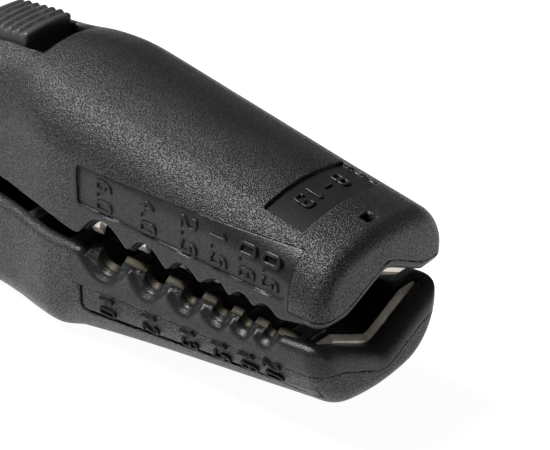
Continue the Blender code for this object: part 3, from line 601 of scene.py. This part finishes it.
def ruler(*parts):
    """Grid lines: (start, end, spacing) runs joined end to end."""
    marks = []
    for start, end, spacing in parts:
        count = max(1, round((end - start) / spacing))
        marks.append(start + (end - start) * np.arange(count) / count)
    marks.append([parts[-1][1]])
    return np.concatenate(marks)


CORNERS = [(i, j, k) for i in (0, 1) for j in (0, 1) for k in (0, 1)]
PAIRS = [(a, b) for n, a in enumerate(CORNERS) for b in CORNERS[n + 1:]
         if sum(abs(p - q) for p, q in zip(a, b)) == 1]


def meshed(field, xs, ys, zs):
    """Vertices and quads of the surface where a field changes sign on a grid, pulled onto that surface."""
    value = field(xs[:, None, None], ys[None, :, None], zs[None, None, :])
    value = value + np.zeros((len(xs), len(ys), len(zs))) + 1e-7
    inside = value < 0
    count = sum(inside[i:len(xs) - 1 + i, j:len(ys) - 1 + j, k:len(zs) - 1 + k].astype(np.int8)
                for i, j, k in CORNERS)
    cell = (count > 0) & (count < 8)
    index = np.full(cell.shape, -1, np.int64)
    place = np.argwhere(cell)
    index[cell] = np.arange(len(place))
    total = np.zeros((len(place), 3))
    hits = np.zeros(len(place))
    grid = (xs, ys, zs)
    for a, b in PAIRS:
        ia, ib = place + a, place + b
        va, vb = value[tuple(ia.T)], value[tuple(ib.T)]
        crossing = (va < 0) != (vb < 0)
        t = np.where(crossing, va / np.where(crossing, va - vb, 1.0), 0.0)
        pa = np.stack([grid[d][ia[:, d]] for d in range(3)], 1)
        pb = np.stack([grid[d][ib[:, d]] for d in range(3)], 1)
        total += (pa + (pb - pa) * t[:, None]) * crossing[:, None]
        hits += crossing
    points = total / hits[:, None]
    for _ in range(2):
        now = field(points[:, 0], points[:, 1], points[:, 2])
        step = 0.02
        slope = np.stack([field(*(points + step * np.eye(3)[d]).T) - now for d in range(3)], 1) / step
        length = np.maximum((slope * slope).sum(1), 0.3)
        move = np.clip(now / length, -0.12, 0.12)
        points = points - slope * move[:, None] * 0.8
    quads = []
    for d in range(3):
        low = [slice(None)] * 3
        high = [slice(None)] * 3
        low[d], high[d] = slice(0, -1), slice(1, None)
        change = inside[tuple(low)] != inside[tuple(high)]
        at = np.argwhere(change)
        e, f = [axis for axis in range(3) if axis != d]
        at = at[(at[:, e] > 0) & (at[:, e] < len(grid[e]) - 1)]
        at = at[(at[:, f] > 0) & (at[:, f] < len(grid[f]) - 1)]
        corners = []
        for de, df in ((1, 1), (0, 1), (0, 0), (1, 0)):
            spot = at.copy()
            spot[:, e] -= de
            spot[:, f] -= df
            corners.append(index[tuple(spot.T)])
        quad = np.stack(corners, 1)
        flip = inside[tuple(at.T)] == (d == 1)
        quad[flip] = quad[flip][:, ::-1]
        quads.append(quad)
    return points, np.concatenate(quads)


def mesh_object(name, points, faces, material):
    """A new object from points in the jaw frame, in millimetres."""
    mesh = bpy.data.meshes.new(name)
    where = (np.asarray(points) + np.array(ORIGIN)) * MM
    mesh.from_pydata(where.tolist(), [], [list(map(int, f)) for f in faces])
    mesh.validate()
    return finished(name, mesh, material)


def finished(name, mesh, material, angle=40.0):
    """A new object from a mesh, smooth except at edges sharper than the angle."""
    mesh.materials.append(material)
    mesh.shade_smooth()
    mesh.set_sharp_from_angle(angle=math.radians(angle))
    obj = bpy.data.objects.new(name, mesh)
    bpy.context.scene.collection.objects.link(obj)
    return obj


def closed(name, bm, material, angle):
    """A new object from a bmesh of closed surfaces, which it frees."""
    bmesh.ops.recalc_face_normals(bm, faces=bm.faces)
    mesh = bpy.data.meshes.new(name)
    bm.to_mesh(mesh)
    bm.free()
    return finished(name, mesh, material, angle)


def skin(bm, rings):
    """Adds a closed surface through rings of equal length, capped at both ends."""
    rows = [[bm.verts.new((Vector(co) + ORIGIN) * MM) for co in ring] for ring in rings]
    count = len(rows[0])
    for row, after in zip(rows, rows[1:]):
        for i in range(count):
            j = (i + 1) % count
            bm.faces.new((row[i], row[j], after[j], after[i]))
    bm.faces.new(rows[0])
    bm.faces.new(rows[-1])


def piece(obj, body, slot, *nodes):
    """Puts an object on its body and in place of its CAD nodes; the slot is not used."""
    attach(obj, body)
    if nodes:
        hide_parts(*nodes)
    return obj


BODY = {1: "upper_half", -1: "lower_half"}
LABEL = {1: "upper", -1: "lower"}


def smooth_recess(obj):
    """Gives the floor of the range recess on the top a smooth finish."""
    faces = obj.data.polygons
    centres = np.empty(len(faces) * 3)
    faces.foreach_get("center", centres)
    x, y, z = (centres.reshape(-1, 3) / MM - np.array(ORIGIN)).T
    inside = np.maximum(slab(x, *RANGE_FINISH_X), np.abs(y) - RANGE_FINISH_HALF) < 0.0
    sunk = (outer_body(1, x, y, z) < -0.15) & (top_height(1, x, y) - 1.2 < z)
    obj.data.materials.append(RECESS)
    faces.foreach_set("material_index", (inside & sunk).astype(np.int32))


def moulding(kind, side, xs, ys, zs, material):
    """A cover or a jaw insert as its own piece."""
    make = cover_field if kind == "cover" else insert_field

    def field(x, y, z):
        return make(side, x, y, z * side)
    marks = zs if side > 0 else -zs[::-1]
    points, quads = meshed(field, xs, ys, marks)
    node = f"{LABEL[side]}_{kind}"
    obj = mesh_object(f"{node}_moulding", points, quads, material)
    if kind == "cover" and side > 0:
        smooth_recess(obj)
    return piece(obj, BODY[side], "black_plastic", node)


# thin cells lie along the seams and the edges of the range recess, so that these stay crisp
REAR_SEAM, FRONT_SEAM, SIDE_SEAM = (-28.06, -27.94, 0.04), (23.94, 24.06, 0.04), (14.69, 14.81, 0.04)
upper_x = ruler((-100.8, -95.0, 0.5), (-95.0, -86.0, 0.45), (-86.0, -69.5, 1.1), (-69.5, -40.0, 0.55),
                (-40.0, -28.06, 0.5), REAR_SEAM, (-27.94, -25.0, 0.3), (-25.0, 12.7, 0.8),
                (12.7, 13.1, 0.1), (13.1, 21.6, 0.35), (21.6, 22.0, 0.1), (22.0, 23.94, 0.3),
                FRONT_SEAM, (24.06, 32.8, 0.33))
upper_y = ruler((-17.8, -13.5, 0.3), (-13.5, -10.8, 0.5), (-10.8, -10.2, 0.1), (-10.2, 10.2, 0.66),
                (10.2, 10.8, 0.1), (10.8, 13.5, 0.5), (13.5, 17.8, 0.45))
upper_z = ruler((-6.0, -1.0, 0.6), (-1.0, 5.0, 0.35), (5.0, 13.7, 0.45), (13.7, 14.69, 0.25), SIDE_SEAM,
                (14.81, 16.0, 0.25), (16.0, 29.0, 0.45))
lower_x = ruler((-100.8, -95.0, 0.6), (-95.0, -86.0, 0.5), (-86.0, -40.0, 1.1), (-40.0, -28.06, 0.6),
                REAR_SEAM, (-27.94, -25.0, 0.3), (-25.0, 23.94, 0.42), FRONT_SEAM, (24.06, 32.8, 0.36))
lower_y = ruler((-17.8, -14.5, 0.25), (-14.5, -9.0, 0.6), (-9.0, 9.0, 0.7), (9.0, 13.5, 0.65),
                (13.5, 17.8, 0.5))
lower_z = ruler((-6.0, 4.0, 0.5), (4.0, 7.0, 0.33), (7.0, 17.0, 0.24), (17.0, 26.4, 0.45))
insert_x = ruler((-28.9, -28.06, 0.3), REAR_SEAM, (-27.94, 23.94, 0.26), FRONT_SEAM, (24.06, 33.0, 0.3))
insert_y = ruler((-17.8, -12.8, 0.2), (-12.8, 12.8, 0.8), (12.8, 17.8, 0.45))
upper_insert_z = ruler((-1.2, 7.6, 0.22), (7.6, 13.6, 0.4), (13.6, 14.69, 0.25), SIDE_SEAM,
                       (14.81, 15.4, 0.25))
lower_insert_z = ruler((0.6, 9.0, 0.25), (9.0, 17.5, 0.4))
moulding("cover", 1, upper_x, upper_y, upper_z, PLASTIC)
moulding("jaw_insert", 1, insert_x, insert_y, upper_insert_z, SATIN)
moulding("cover", -1, lower_x, lower_y, lower_z, PLASTIC)
moulding("jaw_insert", -1, insert_x, insert_y, lower_insert_z, SATIN)

# ------------------------------------------------------------------ blades


def lofted(name, rings, material, angle=30.0):
    """A closed piece through rings of equal length, capped at both ends."""
    bm = bmesh.new()
    skin(bm, rings)
    return closed(name, bm, material, angle)


def wire_blade(side):
    """Notched blade with a ground bevel on its near face."""
    front, rear = WIRE_BLADE_Y
    back, bevel = (9.8, 1.8) if side > 0 else (10.6, 0.95)
    rings = []
    for x in np.arange(WIRE_BLADE_X[0], WIRE_BLADE_X[1] + 0.01, 0.16):
        edge = float(blade_edge(side, x))
        section = [(front, back), (front, edge + bevel), (front + 0.06, edge + bevel - 0.09),
                   (rear - 0.36, edge + 0.02), (rear - 0.28, edge), (rear - 0.04, edge + 0.16),
                   (rear, edge + 0.24), (rear, back)]
        rings.append([(x, y, z * side) for y, z in section])
    node = f"{LABEL[side]}_wire_blade"
    # the lower blade gets the darkened steel, which is painted shade
    obj = lofted(f"{node}_ground", rings, MOUTH_BLADE if side > 0 else BLADE_STEEL_PAINTED_SHADE)
    piece(obj, BODY[side], "blade_steel", node)


def mouth_blade(side):
    """Blade across the mouth, with its bevel towards the nose."""
    low, high, half_width = 26.9, 28.1, 13.6
    tip, slope, level = (5.3, 0.5, 8.2) if side > 0 else (7.2, 0.49, 9.6)
    rings = []
    for y in np.linspace(-half_width, half_width, 109):
        reach = min(math.sqrt(y * y + 0.35), level)
        edge = tip - slope * reach
        back = 12.0 if side > 0 else 12.0 - 0.38 * max(abs(y) - 1.5, 0.0)
        section = [(low, back), (low, edge + 0.25), (low + 0.05, edge + 0.14), (low + 0.22, edge),
                   (low + 0.3, edge + 0.03), (high - 0.06, edge + 0.92), (high, edge + 1.0), (high, back)]
        rings.append([(x, y, z * side) for x, z in section])
    node = f"{LABEL[side]}_sheath_blade"
    obj = lofted(f"{node}_ground", rings, MOUTH_BLADE)
    piece(obj, BODY[side], "blade_steel", node)


for half in (1, -1):
    wire_blade(half)
    mouth_blade(half)

# ------------------------------------------------------------------ pins, screws and springs


def turned(node, profile, start, direction, body, segments=40, hexagon=None):
    """A turned steel piece: profile lists (radius, distance along); hexagon is the radius of a socket."""
    bm = bmesh.new()
    turn = Vector((0, 0, 1)).rotation_difference(Vector(direction)).to_matrix()
    rows = []
    for radius, along in profile:
        if radius == 0.0:
            rows.append([bm.verts.new((turn @ Vector((0, 0, along)) + Vector(start) + ORIGIN) * MM)])
            continue
        row = []
        for k in range(segments):
            a = math.tau * k / segments
            r = radius
            if hexagon and abs(radius - hexagon) < 0.001:
                r = radius * math.cos(math.pi / 6) / math.cos(a % (math.pi / 3) - math.pi / 6)
            spot = turn @ Vector((r * math.cos(a), r * math.sin(a), along)) + Vector(start) + ORIGIN
            row.append(bm.verts.new(spot * MM))
        rows.append(row)
    for row, after in zip(rows, rows[1:]):
        for k in range(segments):
            a, b = k % len(row), (k + 1) % len(row)
            c, d = (k + 1) % len(after), k % len(after)
            corners = []
            for vert in (row[a], row[b], after[c], after[d]):
                if vert not in corners:
                    corners.append(vert)
            if len(corners) > 2:
                bm.faces.new(corners)
    piece(closed(f"{node}_turned", bm, PIN, 30.0), body, "pin_steel", node)


def dowel(node, body, radius, start, end):
    """A straight pin with eased ends."""
    length = (Vector(end) - Vector(start)).length
    ease = 0.22
    profile = [(0.0, 0.0), (radius - ease, 0.0), (radius - 0.06, ease * 0.7), (radius, ease * 1.4),
               (radius, length - ease * 1.4), (radius - 0.06, length - ease * 0.7), (radius - ease, length),
               (0.0, length)]
    turned(node, profile, start, Vector(end) - Vector(start), body)


def insert_screw(side, end, x):
    """Screw with a hexagon socket and a thread, along the height of its CAD node."""
    node = f"{LABEL[side]}_insert_screw_{end}"
    low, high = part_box(node)
    length = (high.z - low.z) / MM
    base = (low.z if side > 0 else high.z) / MM - ORIGIN.z
    pitch = 0.25
    profile = [(0.0, 0.9), (1.0, 0.9), (1.0, 0.12), (1.1, 0.0), (2.1, 0.0), (2.32, 0.14), (2.4, 0.4),
               (2.4, 1.5), (2.3, 1.6), (1.25, 1.6)]
    turns = int((length - 2.4) / pitch)
    profile += [(1.25 if k % 2 else 1.02, 2.0 + pitch * k) for k in range(turns)]
    profile += [(0.8, length - 0.05), (0.0, length)]
    turned(node, profile, (x, 0, base), (0, 0, side), BODY[side], hexagon=1.0)


def half_hardware(side):
    """Dowels and screws of one half."""
    label, body = LABEL[side], BODY[side]
    for end, x in zip(("rear", "front"), WIRE_PIN_X[side]):
        start, stop = [(x, y, WIRE_PIN_Z[side] * side) for y in WIRE_PIN_Y[side]]
        dowel(f"{label}_wire_blade_pin_{end}", body, PIN_R, start, stop)
    for end, y in zip(("near", "far"), MOUTH_PIN_Y):
        start, stop = [(x, y, MOUTH_PIN_Z[side] * side) for x in MOUTH_PIN_X]
        dowel(f"{label}_sheath_blade_pin_{end}", body, PIN_R, start, stop)
    for end, x in zip(("rear", "front"), SCREW_X):
        insert_screw(side, end, x)


for half in (1, -1):
    half_hardware(half)
dowel("catch_pin", "lower_half", 1.5, (CATCH_X, -13.5, -CATCH_Z), (CATCH_X, 13.5, -CATCH_Z))
turned("hinge_pin", [(0, 0), (2.6, 0), (2.95, 0.1), (3.15, 0.3), (3.2, 0.5), (3.18, 0.8), (3.1, 0.9),
                     (2.0, 0.9), (2.0, 26.9), (1.9, 27.1), (1.6, 27.4), (0, 27.4)],
       (HINGE[0], -13.6, 0), (0, 1, 0), "lower_half")
turned("hinge_clip", [(2.1, 0.05), (2.2, 0.0), (3.25, 0.0), (3.4, 0.15), (3.4, 0.5), (3.2, 0.7),
                      (2.5, 0.62), (2.1, 0.45), (2.1, 0.05)],
       (HINGE[0], 12.65, 0), (0, 1, 0), "lower_half")
turned("detent_spring_screw", [(0, 0.5), (0.7, 0.5), (0.7, 0.05), (0.8, 0), (1.5, 0), (1.74, 0.12),
                               (1.8, 0.35), (1.8, 1.15), (1.72, 1.2), (0.9, 1.2), (0.9, 4.9), (0, 5.0)],
       (DETENT_SCREW_X, 0, 16.25), (0, 0, 1), "upper_half", hexagon=0.7)


def swept(name, path, radius, material, sides=14):
    """Round wire along a path of vectors, with domed ends."""
    rings = []
    across = None
    for i, point in enumerate(path):
        ahead = (path[min(i + 1, len(path) - 1)] - path[max(i - 1, 0)]).normalized()
        across = ahead.orthogonal() if across is None else across - ahead * across.dot(ahead)
        across.normalize()
        other = ahead.cross(across)
        ends = [(0.35, -0.7), (0.8, -0.3), (1.0, 0.0)] if i == 0 else [(1.0, 0.0)]
        if i == len(path) - 1:
            ends = [(1.0, 0.0), (0.8, 0.3), (0.35, 0.7)]
        for grow, along in ends:
            ring = []
            for k in range(sides):
                a = math.tau * k / sides
                out = across * math.cos(a) + other * math.sin(a)
                ring.append(point + ahead * along * radius * 0.6 + out * radius * grow)
            rings.append(ring)
    return lofted(name, rings, material, 50.0)


def return_spring():
    """Coil with its lower leg on one half, upper leg on the other; both share a stretch of the coil."""
    x, z = HINGE[0], HINGE[2]
    turns, per_turn, width, radius = 4, 40, 8.2, 3.9
    start, span = math.radians(-75), math.tau * turns + math.radians(150)
    count = int(per_turn * span / math.tau)
    coil = []
    for k in range(count + 1):
        t = k / count
        a = start - span * t
        coil.append(Vector((x + radius * math.cos(a), width * (t - 0.5), z + radius * math.sin(a))))
    shared, leg = per_turn // 3, 12
    lower_end = Vector((x + 24.0, -width / 2, z - 11.5))
    upper_end = Vector((x + 24.0, width / 2, z + 13.6))
    lower_leg = [lower_end.lerp(coil[0], k / leg) for k in range(leg)]
    upper_leg = [coil[-1].lerp(upper_end, k / leg) for k in range(1, leg + 1)]
    obj = swept("return_spring_coil", lower_leg + coil, 0.74, SPRING)
    piece(obj, "lower_half", "spring_steel", "return_spring")
    obj = swept("return_spring_upper_leg", coil[-shared:] + upper_leg, 0.75, SPRING)
    piece(obj, "upper_half", "spring_steel")


return_spring()


def keep_node(node, material, bevel):
    """A CAD node whose shape is right: finer edges and a better material."""
    obj = frame["nodes"][node]
    obj.data.materials.clear()
    obj.data.materials.append(material)
    mod = obj.modifiers.new("edges", "BEVEL")
    mod.width = bevel * MM
    mod.segments = 3
    mod.limit_method = "ANGLE"


keep_node("lock_retainer", PIN, 0.15)
keep_node("lock_detent_spring", SPRING, 0.12)

# ------------------------------------------------------------------ thumb lock


def lock_field(x, y, z):
    """Thumb slider with grip ridges, its stem and its hook."""
    top = 28.75 + 0.114 * (x + 50.6) - 0.07 * y * y / 6.0
    height, pitch = 0.38, 2.1
    ridge = height * np.cos(math.tau * (x + 51.2) / pitch)
    ridge = ridge * np.clip((x + 62.0) / 1.2, 0.0, 1.0) * np.clip((-49.6 - x) / 0.8, 0.0, 1.0)
    pad = both(np.abs(y) - 6.0, z - top - ridge, 0.7)
    pad = both(pad, slab(x, -62.8, -48.6), 0.8)
    pad = both(pad, 23.3 - z, 0.3)
    stem = np.maximum(slab(x, -57.6, -51.8), slab(z, -11.2, 25.0))
    hook = both(slab(x, -53.0, -48.1), slab(z, -11.2, -8.7), 0.35)
    arm = both(np.minimum(stem, hook), np.abs(y) - 1.8, 0.25)
    return join(pad, arm, 0.3)


lock_z = ruler((-12.0, -8.0, 0.25), (-8.0, 22.5, 0.6), (22.5, 30.0, 0.2))
points, quads = meshed(lock_field, ruler((-63.6, -47.4, 0.2)), ruler((-6.8, 6.8, 0.25)), lock_z)
piece(mesh_object("lock_slider_moulding", points, quads, LOCK_PLASTIC), "lock", "lock_plastic", "lock_slider")

# ------------------------------------------------------------------ numerals


STROKES = {
    "0": [[(0, 0.5), (0, 1), (1, 1), (1, 0), (0, 0), (0, 0.5)]],
    "1": [[(0.15, 0.76), (0.6, 1), (0.6, 0)]],
    "2": [[(0, 0.8), (0, 1), (1, 1), (1, 0.6), (0, 0.12), (0, 0), (1, 0)]],
    "3": [[(0, 0.86), (0, 1), (1, 1), (1, 0.53), (0.4, 0.53)],
          [(0.6, 0.53), (1, 0.53), (1, 0), (0, 0), (0, 0.15)]],
    "4": [[(0.78, 0), (0.78, 1), (0, 0.3), (1.05, 0.3)]],
    "5": [[(0.95, 1), (0.08, 1), (0, 0.52), (0.4, 0.64), (1, 0.62), (1, 0), (0, 0), (0, 0.14)]],
    "6": [[(0.85, 1), (0.35, 0.95), (0, 0.5), (0, 0), (1, 0), (1, 0.6), (0, 0.6), (0, 0.35)]],
    "8": [[(0.5, 0.54), (0, 0.54), (0, 1), (1, 1), (1, 0.54), (0.5, 0.54)],
          [(0.5, 0.54), (0, 0.54), (0, 0), (1, 0), (1, 0.54), (0.5, 0.54)]],
    ".": [[(0.42, 0.04), (0.58, 0.04)]],
    "-": [[(0.05, 0.5), (0.95, 0.5)]],
}


def softened(points, radius):
    """A path with its inner corners rounded."""
    path = [points[0]]
    for before, corner, after in zip(points, points[1:], points[2:]):
        back, ahead = before - corner, after - corner
        reach = min(radius, back.length * 0.48, ahead.length * 0.48)
        start, end = corner + back.normalized() * reach, corner + ahead.normalized() * reach
        for k in range(6):
            t = k / 5
            path.append(start * (1 - t) ** 2 + corner * 2 * t * (1 - t) + end * t * t)
    return path + [points[-1]]


def surface(side, x, y, z, axis):
    """The surface's point outside a given point, along y or z, and the normal there. The surface is the
    outer body, or on the upper half's near side the number panel's floor."""
    direction = Vector((0, -1, 0)) if axis == "y" else Vector((0, 0, 1))

    def depth(point):
        if side > 0 and axis == "y":
            return float(panel_floor(np.float64(point.x), np.float64(point.z))) - point.y
        return float(outer_body(side, np.float64(point.x), np.float64(point.y), np.float64(point.z * side)))
    spot = Vector((x, y, z))
    for _ in range(30):
        spot = spot - direction * depth(spot) * 0.8
    probes = (Vector((0.01, 0, 0)), Vector((0, 0.01, 0)), Vector((0, 0, 0.01)))
    slope = Vector([depth(spot + probe) - depth(spot) for probe in probes])
    return spot, slope.normalized()


def character(bm, text, side, place, axis, right, size, stroke, rise, sink):
    """Adds one character that follows the surface; rise and sink place its face above and its foot below."""
    width, height = size
    right = Vector(right)
    half = stroke / 2
    foot, shoulder = -sink - 0.2, rise - 0.12
    section = [(-half, foot), (-half, shoulder), (-half + 0.08, rise - 0.02), (-half + 0.14, rise),
               (half - 0.14, rise), (half - 0.08, rise - 0.02), (half, shoulder), (half, foot)]
    for points in STROKES[text]:
        corners = [Vector(((px - 0.5) * width, (py - 0.5) * height)) for px, py in points]
        path = softened(corners, 0.42 * width)
        rings = []
        for i, point in enumerate(path):
            ahead = (path[min(i + 1, len(path) - 1)] - path[max(i - 1, 0)]).normalized()
            centre = Vector(place) + right * point.x + ALONG * point.y
            spot, normal = surface(side, *centre, axis)
            forward = ALONG * ahead.y + right * ahead.x
            forward = (forward - normal * forward.dot(normal)).normalized()
            across = normal.cross(forward)
            rings.append([spot + across * a + normal * b for a, b in section])
        for end, shift in ((0, path[0] - path[1]), (-1, path[-1] - path[-2])):
            step = ALONG * shift.y + right * shift.x
            rings[end] = [p + step.normalized() * stroke * 0.3 for p in rings[end]]
        skin(bm, rings)


def numerals(name, rows, side, material):
    """One piece of characters; each row gives a character, its place and its style."""
    bm = bmesh.new()
    for row in rows:
        character(bm, row[0], side, *row[1:])
    piece(closed(name, bm, material, 35.0), BODY[side], "black_plastic")


# a digit's height runs along x, its width down or towards the near side
ALONG, DOWN, NEARWARD = Vector((1, 0, 0)), (0, 0, -1), (0, -1, 0)
INSIDE_Y, INSIDE_Z = -16, 16


def upper_scale():
    """Wire sizes in the upper panel, their digits one above the other."""
    digit, point = ((1.75, 3.35), 0.62, 0.34, 0.0), ((1.0, 0.6), 0.55, 0.34, 0.0)
    rows = []
    for text, x, high, low in (("60", -19.6, 12.05, 7.86), ("40", -8.9, 12.2, 7.75), ("25", 0.7, 12.4, 7.6),
                               ("15", 7.7, 12.4, 7.8), ("08", 14.2, 12.45, 7.8), ("05", 19.5, 12.4, 7.85)):
        rows.append((text[0], (x, INSIDE_Y, high), "y", DOWN, *digit))
        rows.append((text[1], (x, INSIDE_Y, low), "y", DOWN, *digit))
        rows.append((".", (x - 1.3, INSIDE_Y, (high + low) / 2), "y", DOWN, *point))
    # the digits' darker plastic is painted shade
    numerals("upper_scale_numerals", rows, 1, SCALE_PAINTED_SHADE)


def lower_scale():
    """Two-digit sizes under the lower notches."""
    pitch = 2.6
    rows = []
    for text, x in (("10", -19.1), ("12", -8.6), ("13", 0.7), ("15", 8.2), ("18", 14.5), ("20", 20.1)):
        middle = -12.7 + 0.0765 * (x + 19.1)
        for k, digit in enumerate(text):
            place = (x, INSIDE_Y, middle + 1.45 - pitch * k)
            rows.append((digit, place, "y", DOWN, (1.15, 3.4), 0.5, 0.5, 0.0))
    # the digits' darker, duller plastic is painted shade
    numerals("lower_scale_numerals", rows, -1, NUMERAL_PAINTED_SHADE)


def range_scale():
    """Cable range in the recess on the top; its face stays below the outer body."""
    rows = []
    for text, y in (("8", 5.25), ("-", 1.79), ("1", -1.72), ("3", -4.57)):
        rows.append((text, (17.0, y, INSIDE_Z), "z", NEARWARD, (1.75, 3.3), 0.55, -0.12, 0.5))
    numerals("range_numerals", rows, 1, SCALE_PAINTED_SHADE)


upper_scale()
lower_scale()
range_scale()

# ------------------------------------------------------------------ stage, light, camera


def make_stage():
    """Nearly white floor just below the tool."""
    mesh = bpy.data.meshes.new("floor")
    size, level = 1.6, -0.0003
    corners = [(-size, -size, level), (size, -size, level), (size, size, level), (-size, size, level)]
    mesh.from_pydata(corners, [], [(0, 1, 2, 3)])
    n = Nodes("studio_floor")
    n.shader.inputs["Roughness"].default_value = 0.8
    n.shader.inputs["Emission Color"].default_value = (1.0, 1.0, 1.0, 1.0)
    n.shader.inputs["Emission Strength"].default_value = 0.95
    n.link(n.mix(n.noise(30.0), (0.21, 0.21, 0.21), (0.23, 0.23, 0.23)), n.shader.inputs["Base Color"])
    mesh.materials.append(n.mat)
    floor = bpy.data.objects.new("floor", mesh)
    bpy.context.scene.collection.objects.link(floor)


def area_light(name, place, target, size, power):
    """A rectangular lamp at a place, facing a target."""
    data = bpy.data.lights.new(name, "AREA")
    data.shape = "RECTANGLE"
    data.size, data.size_y = size
    data.energy = power
    light = bpy.data.objects.new(name, data)
    light.location = place
    light.rotation_euler = (Vector(target) - Vector(place)).to_track_quat("-Z", "Y").to_euler()
    bpy.context.scene.collection.objects.link(light)


make_stage()
area_light("key_softbox", (-0.24, -0.20, 0.62), (0.03, -0.01, 0.03), (0.30, 0.26), 13.0)

world = bpy.data.worlds.new("studio")
bpy.context.scene.world = world
world.use_nodes = True
backdrop = world.node_tree.nodes["Background"]
backdrop.inputs["Color"].default_value = (1.0, 1.0, 1.0, 1.0)
backdrop.inputs["Strength"].default_value = 0.12

camera = bpy.data.objects.new("camera", bpy.data.cameras.new("camera"))
camera.location = (0.31246, -0.31299, 0.28175)
camera.rotation_euler = (math.radians(59.0), 0.0, math.radians(41.0))
camera.data.lens = 179.1
camera.data.sensor_width = 36.0
camera.data.clip_start, camera.data.clip_end = 0.01, 20.0
bpy.context.scene.collection.objects.link(camera)
bpy.context.scene.camera = camera
bpy.context.scene.view_settings.view_transform = "Standard"
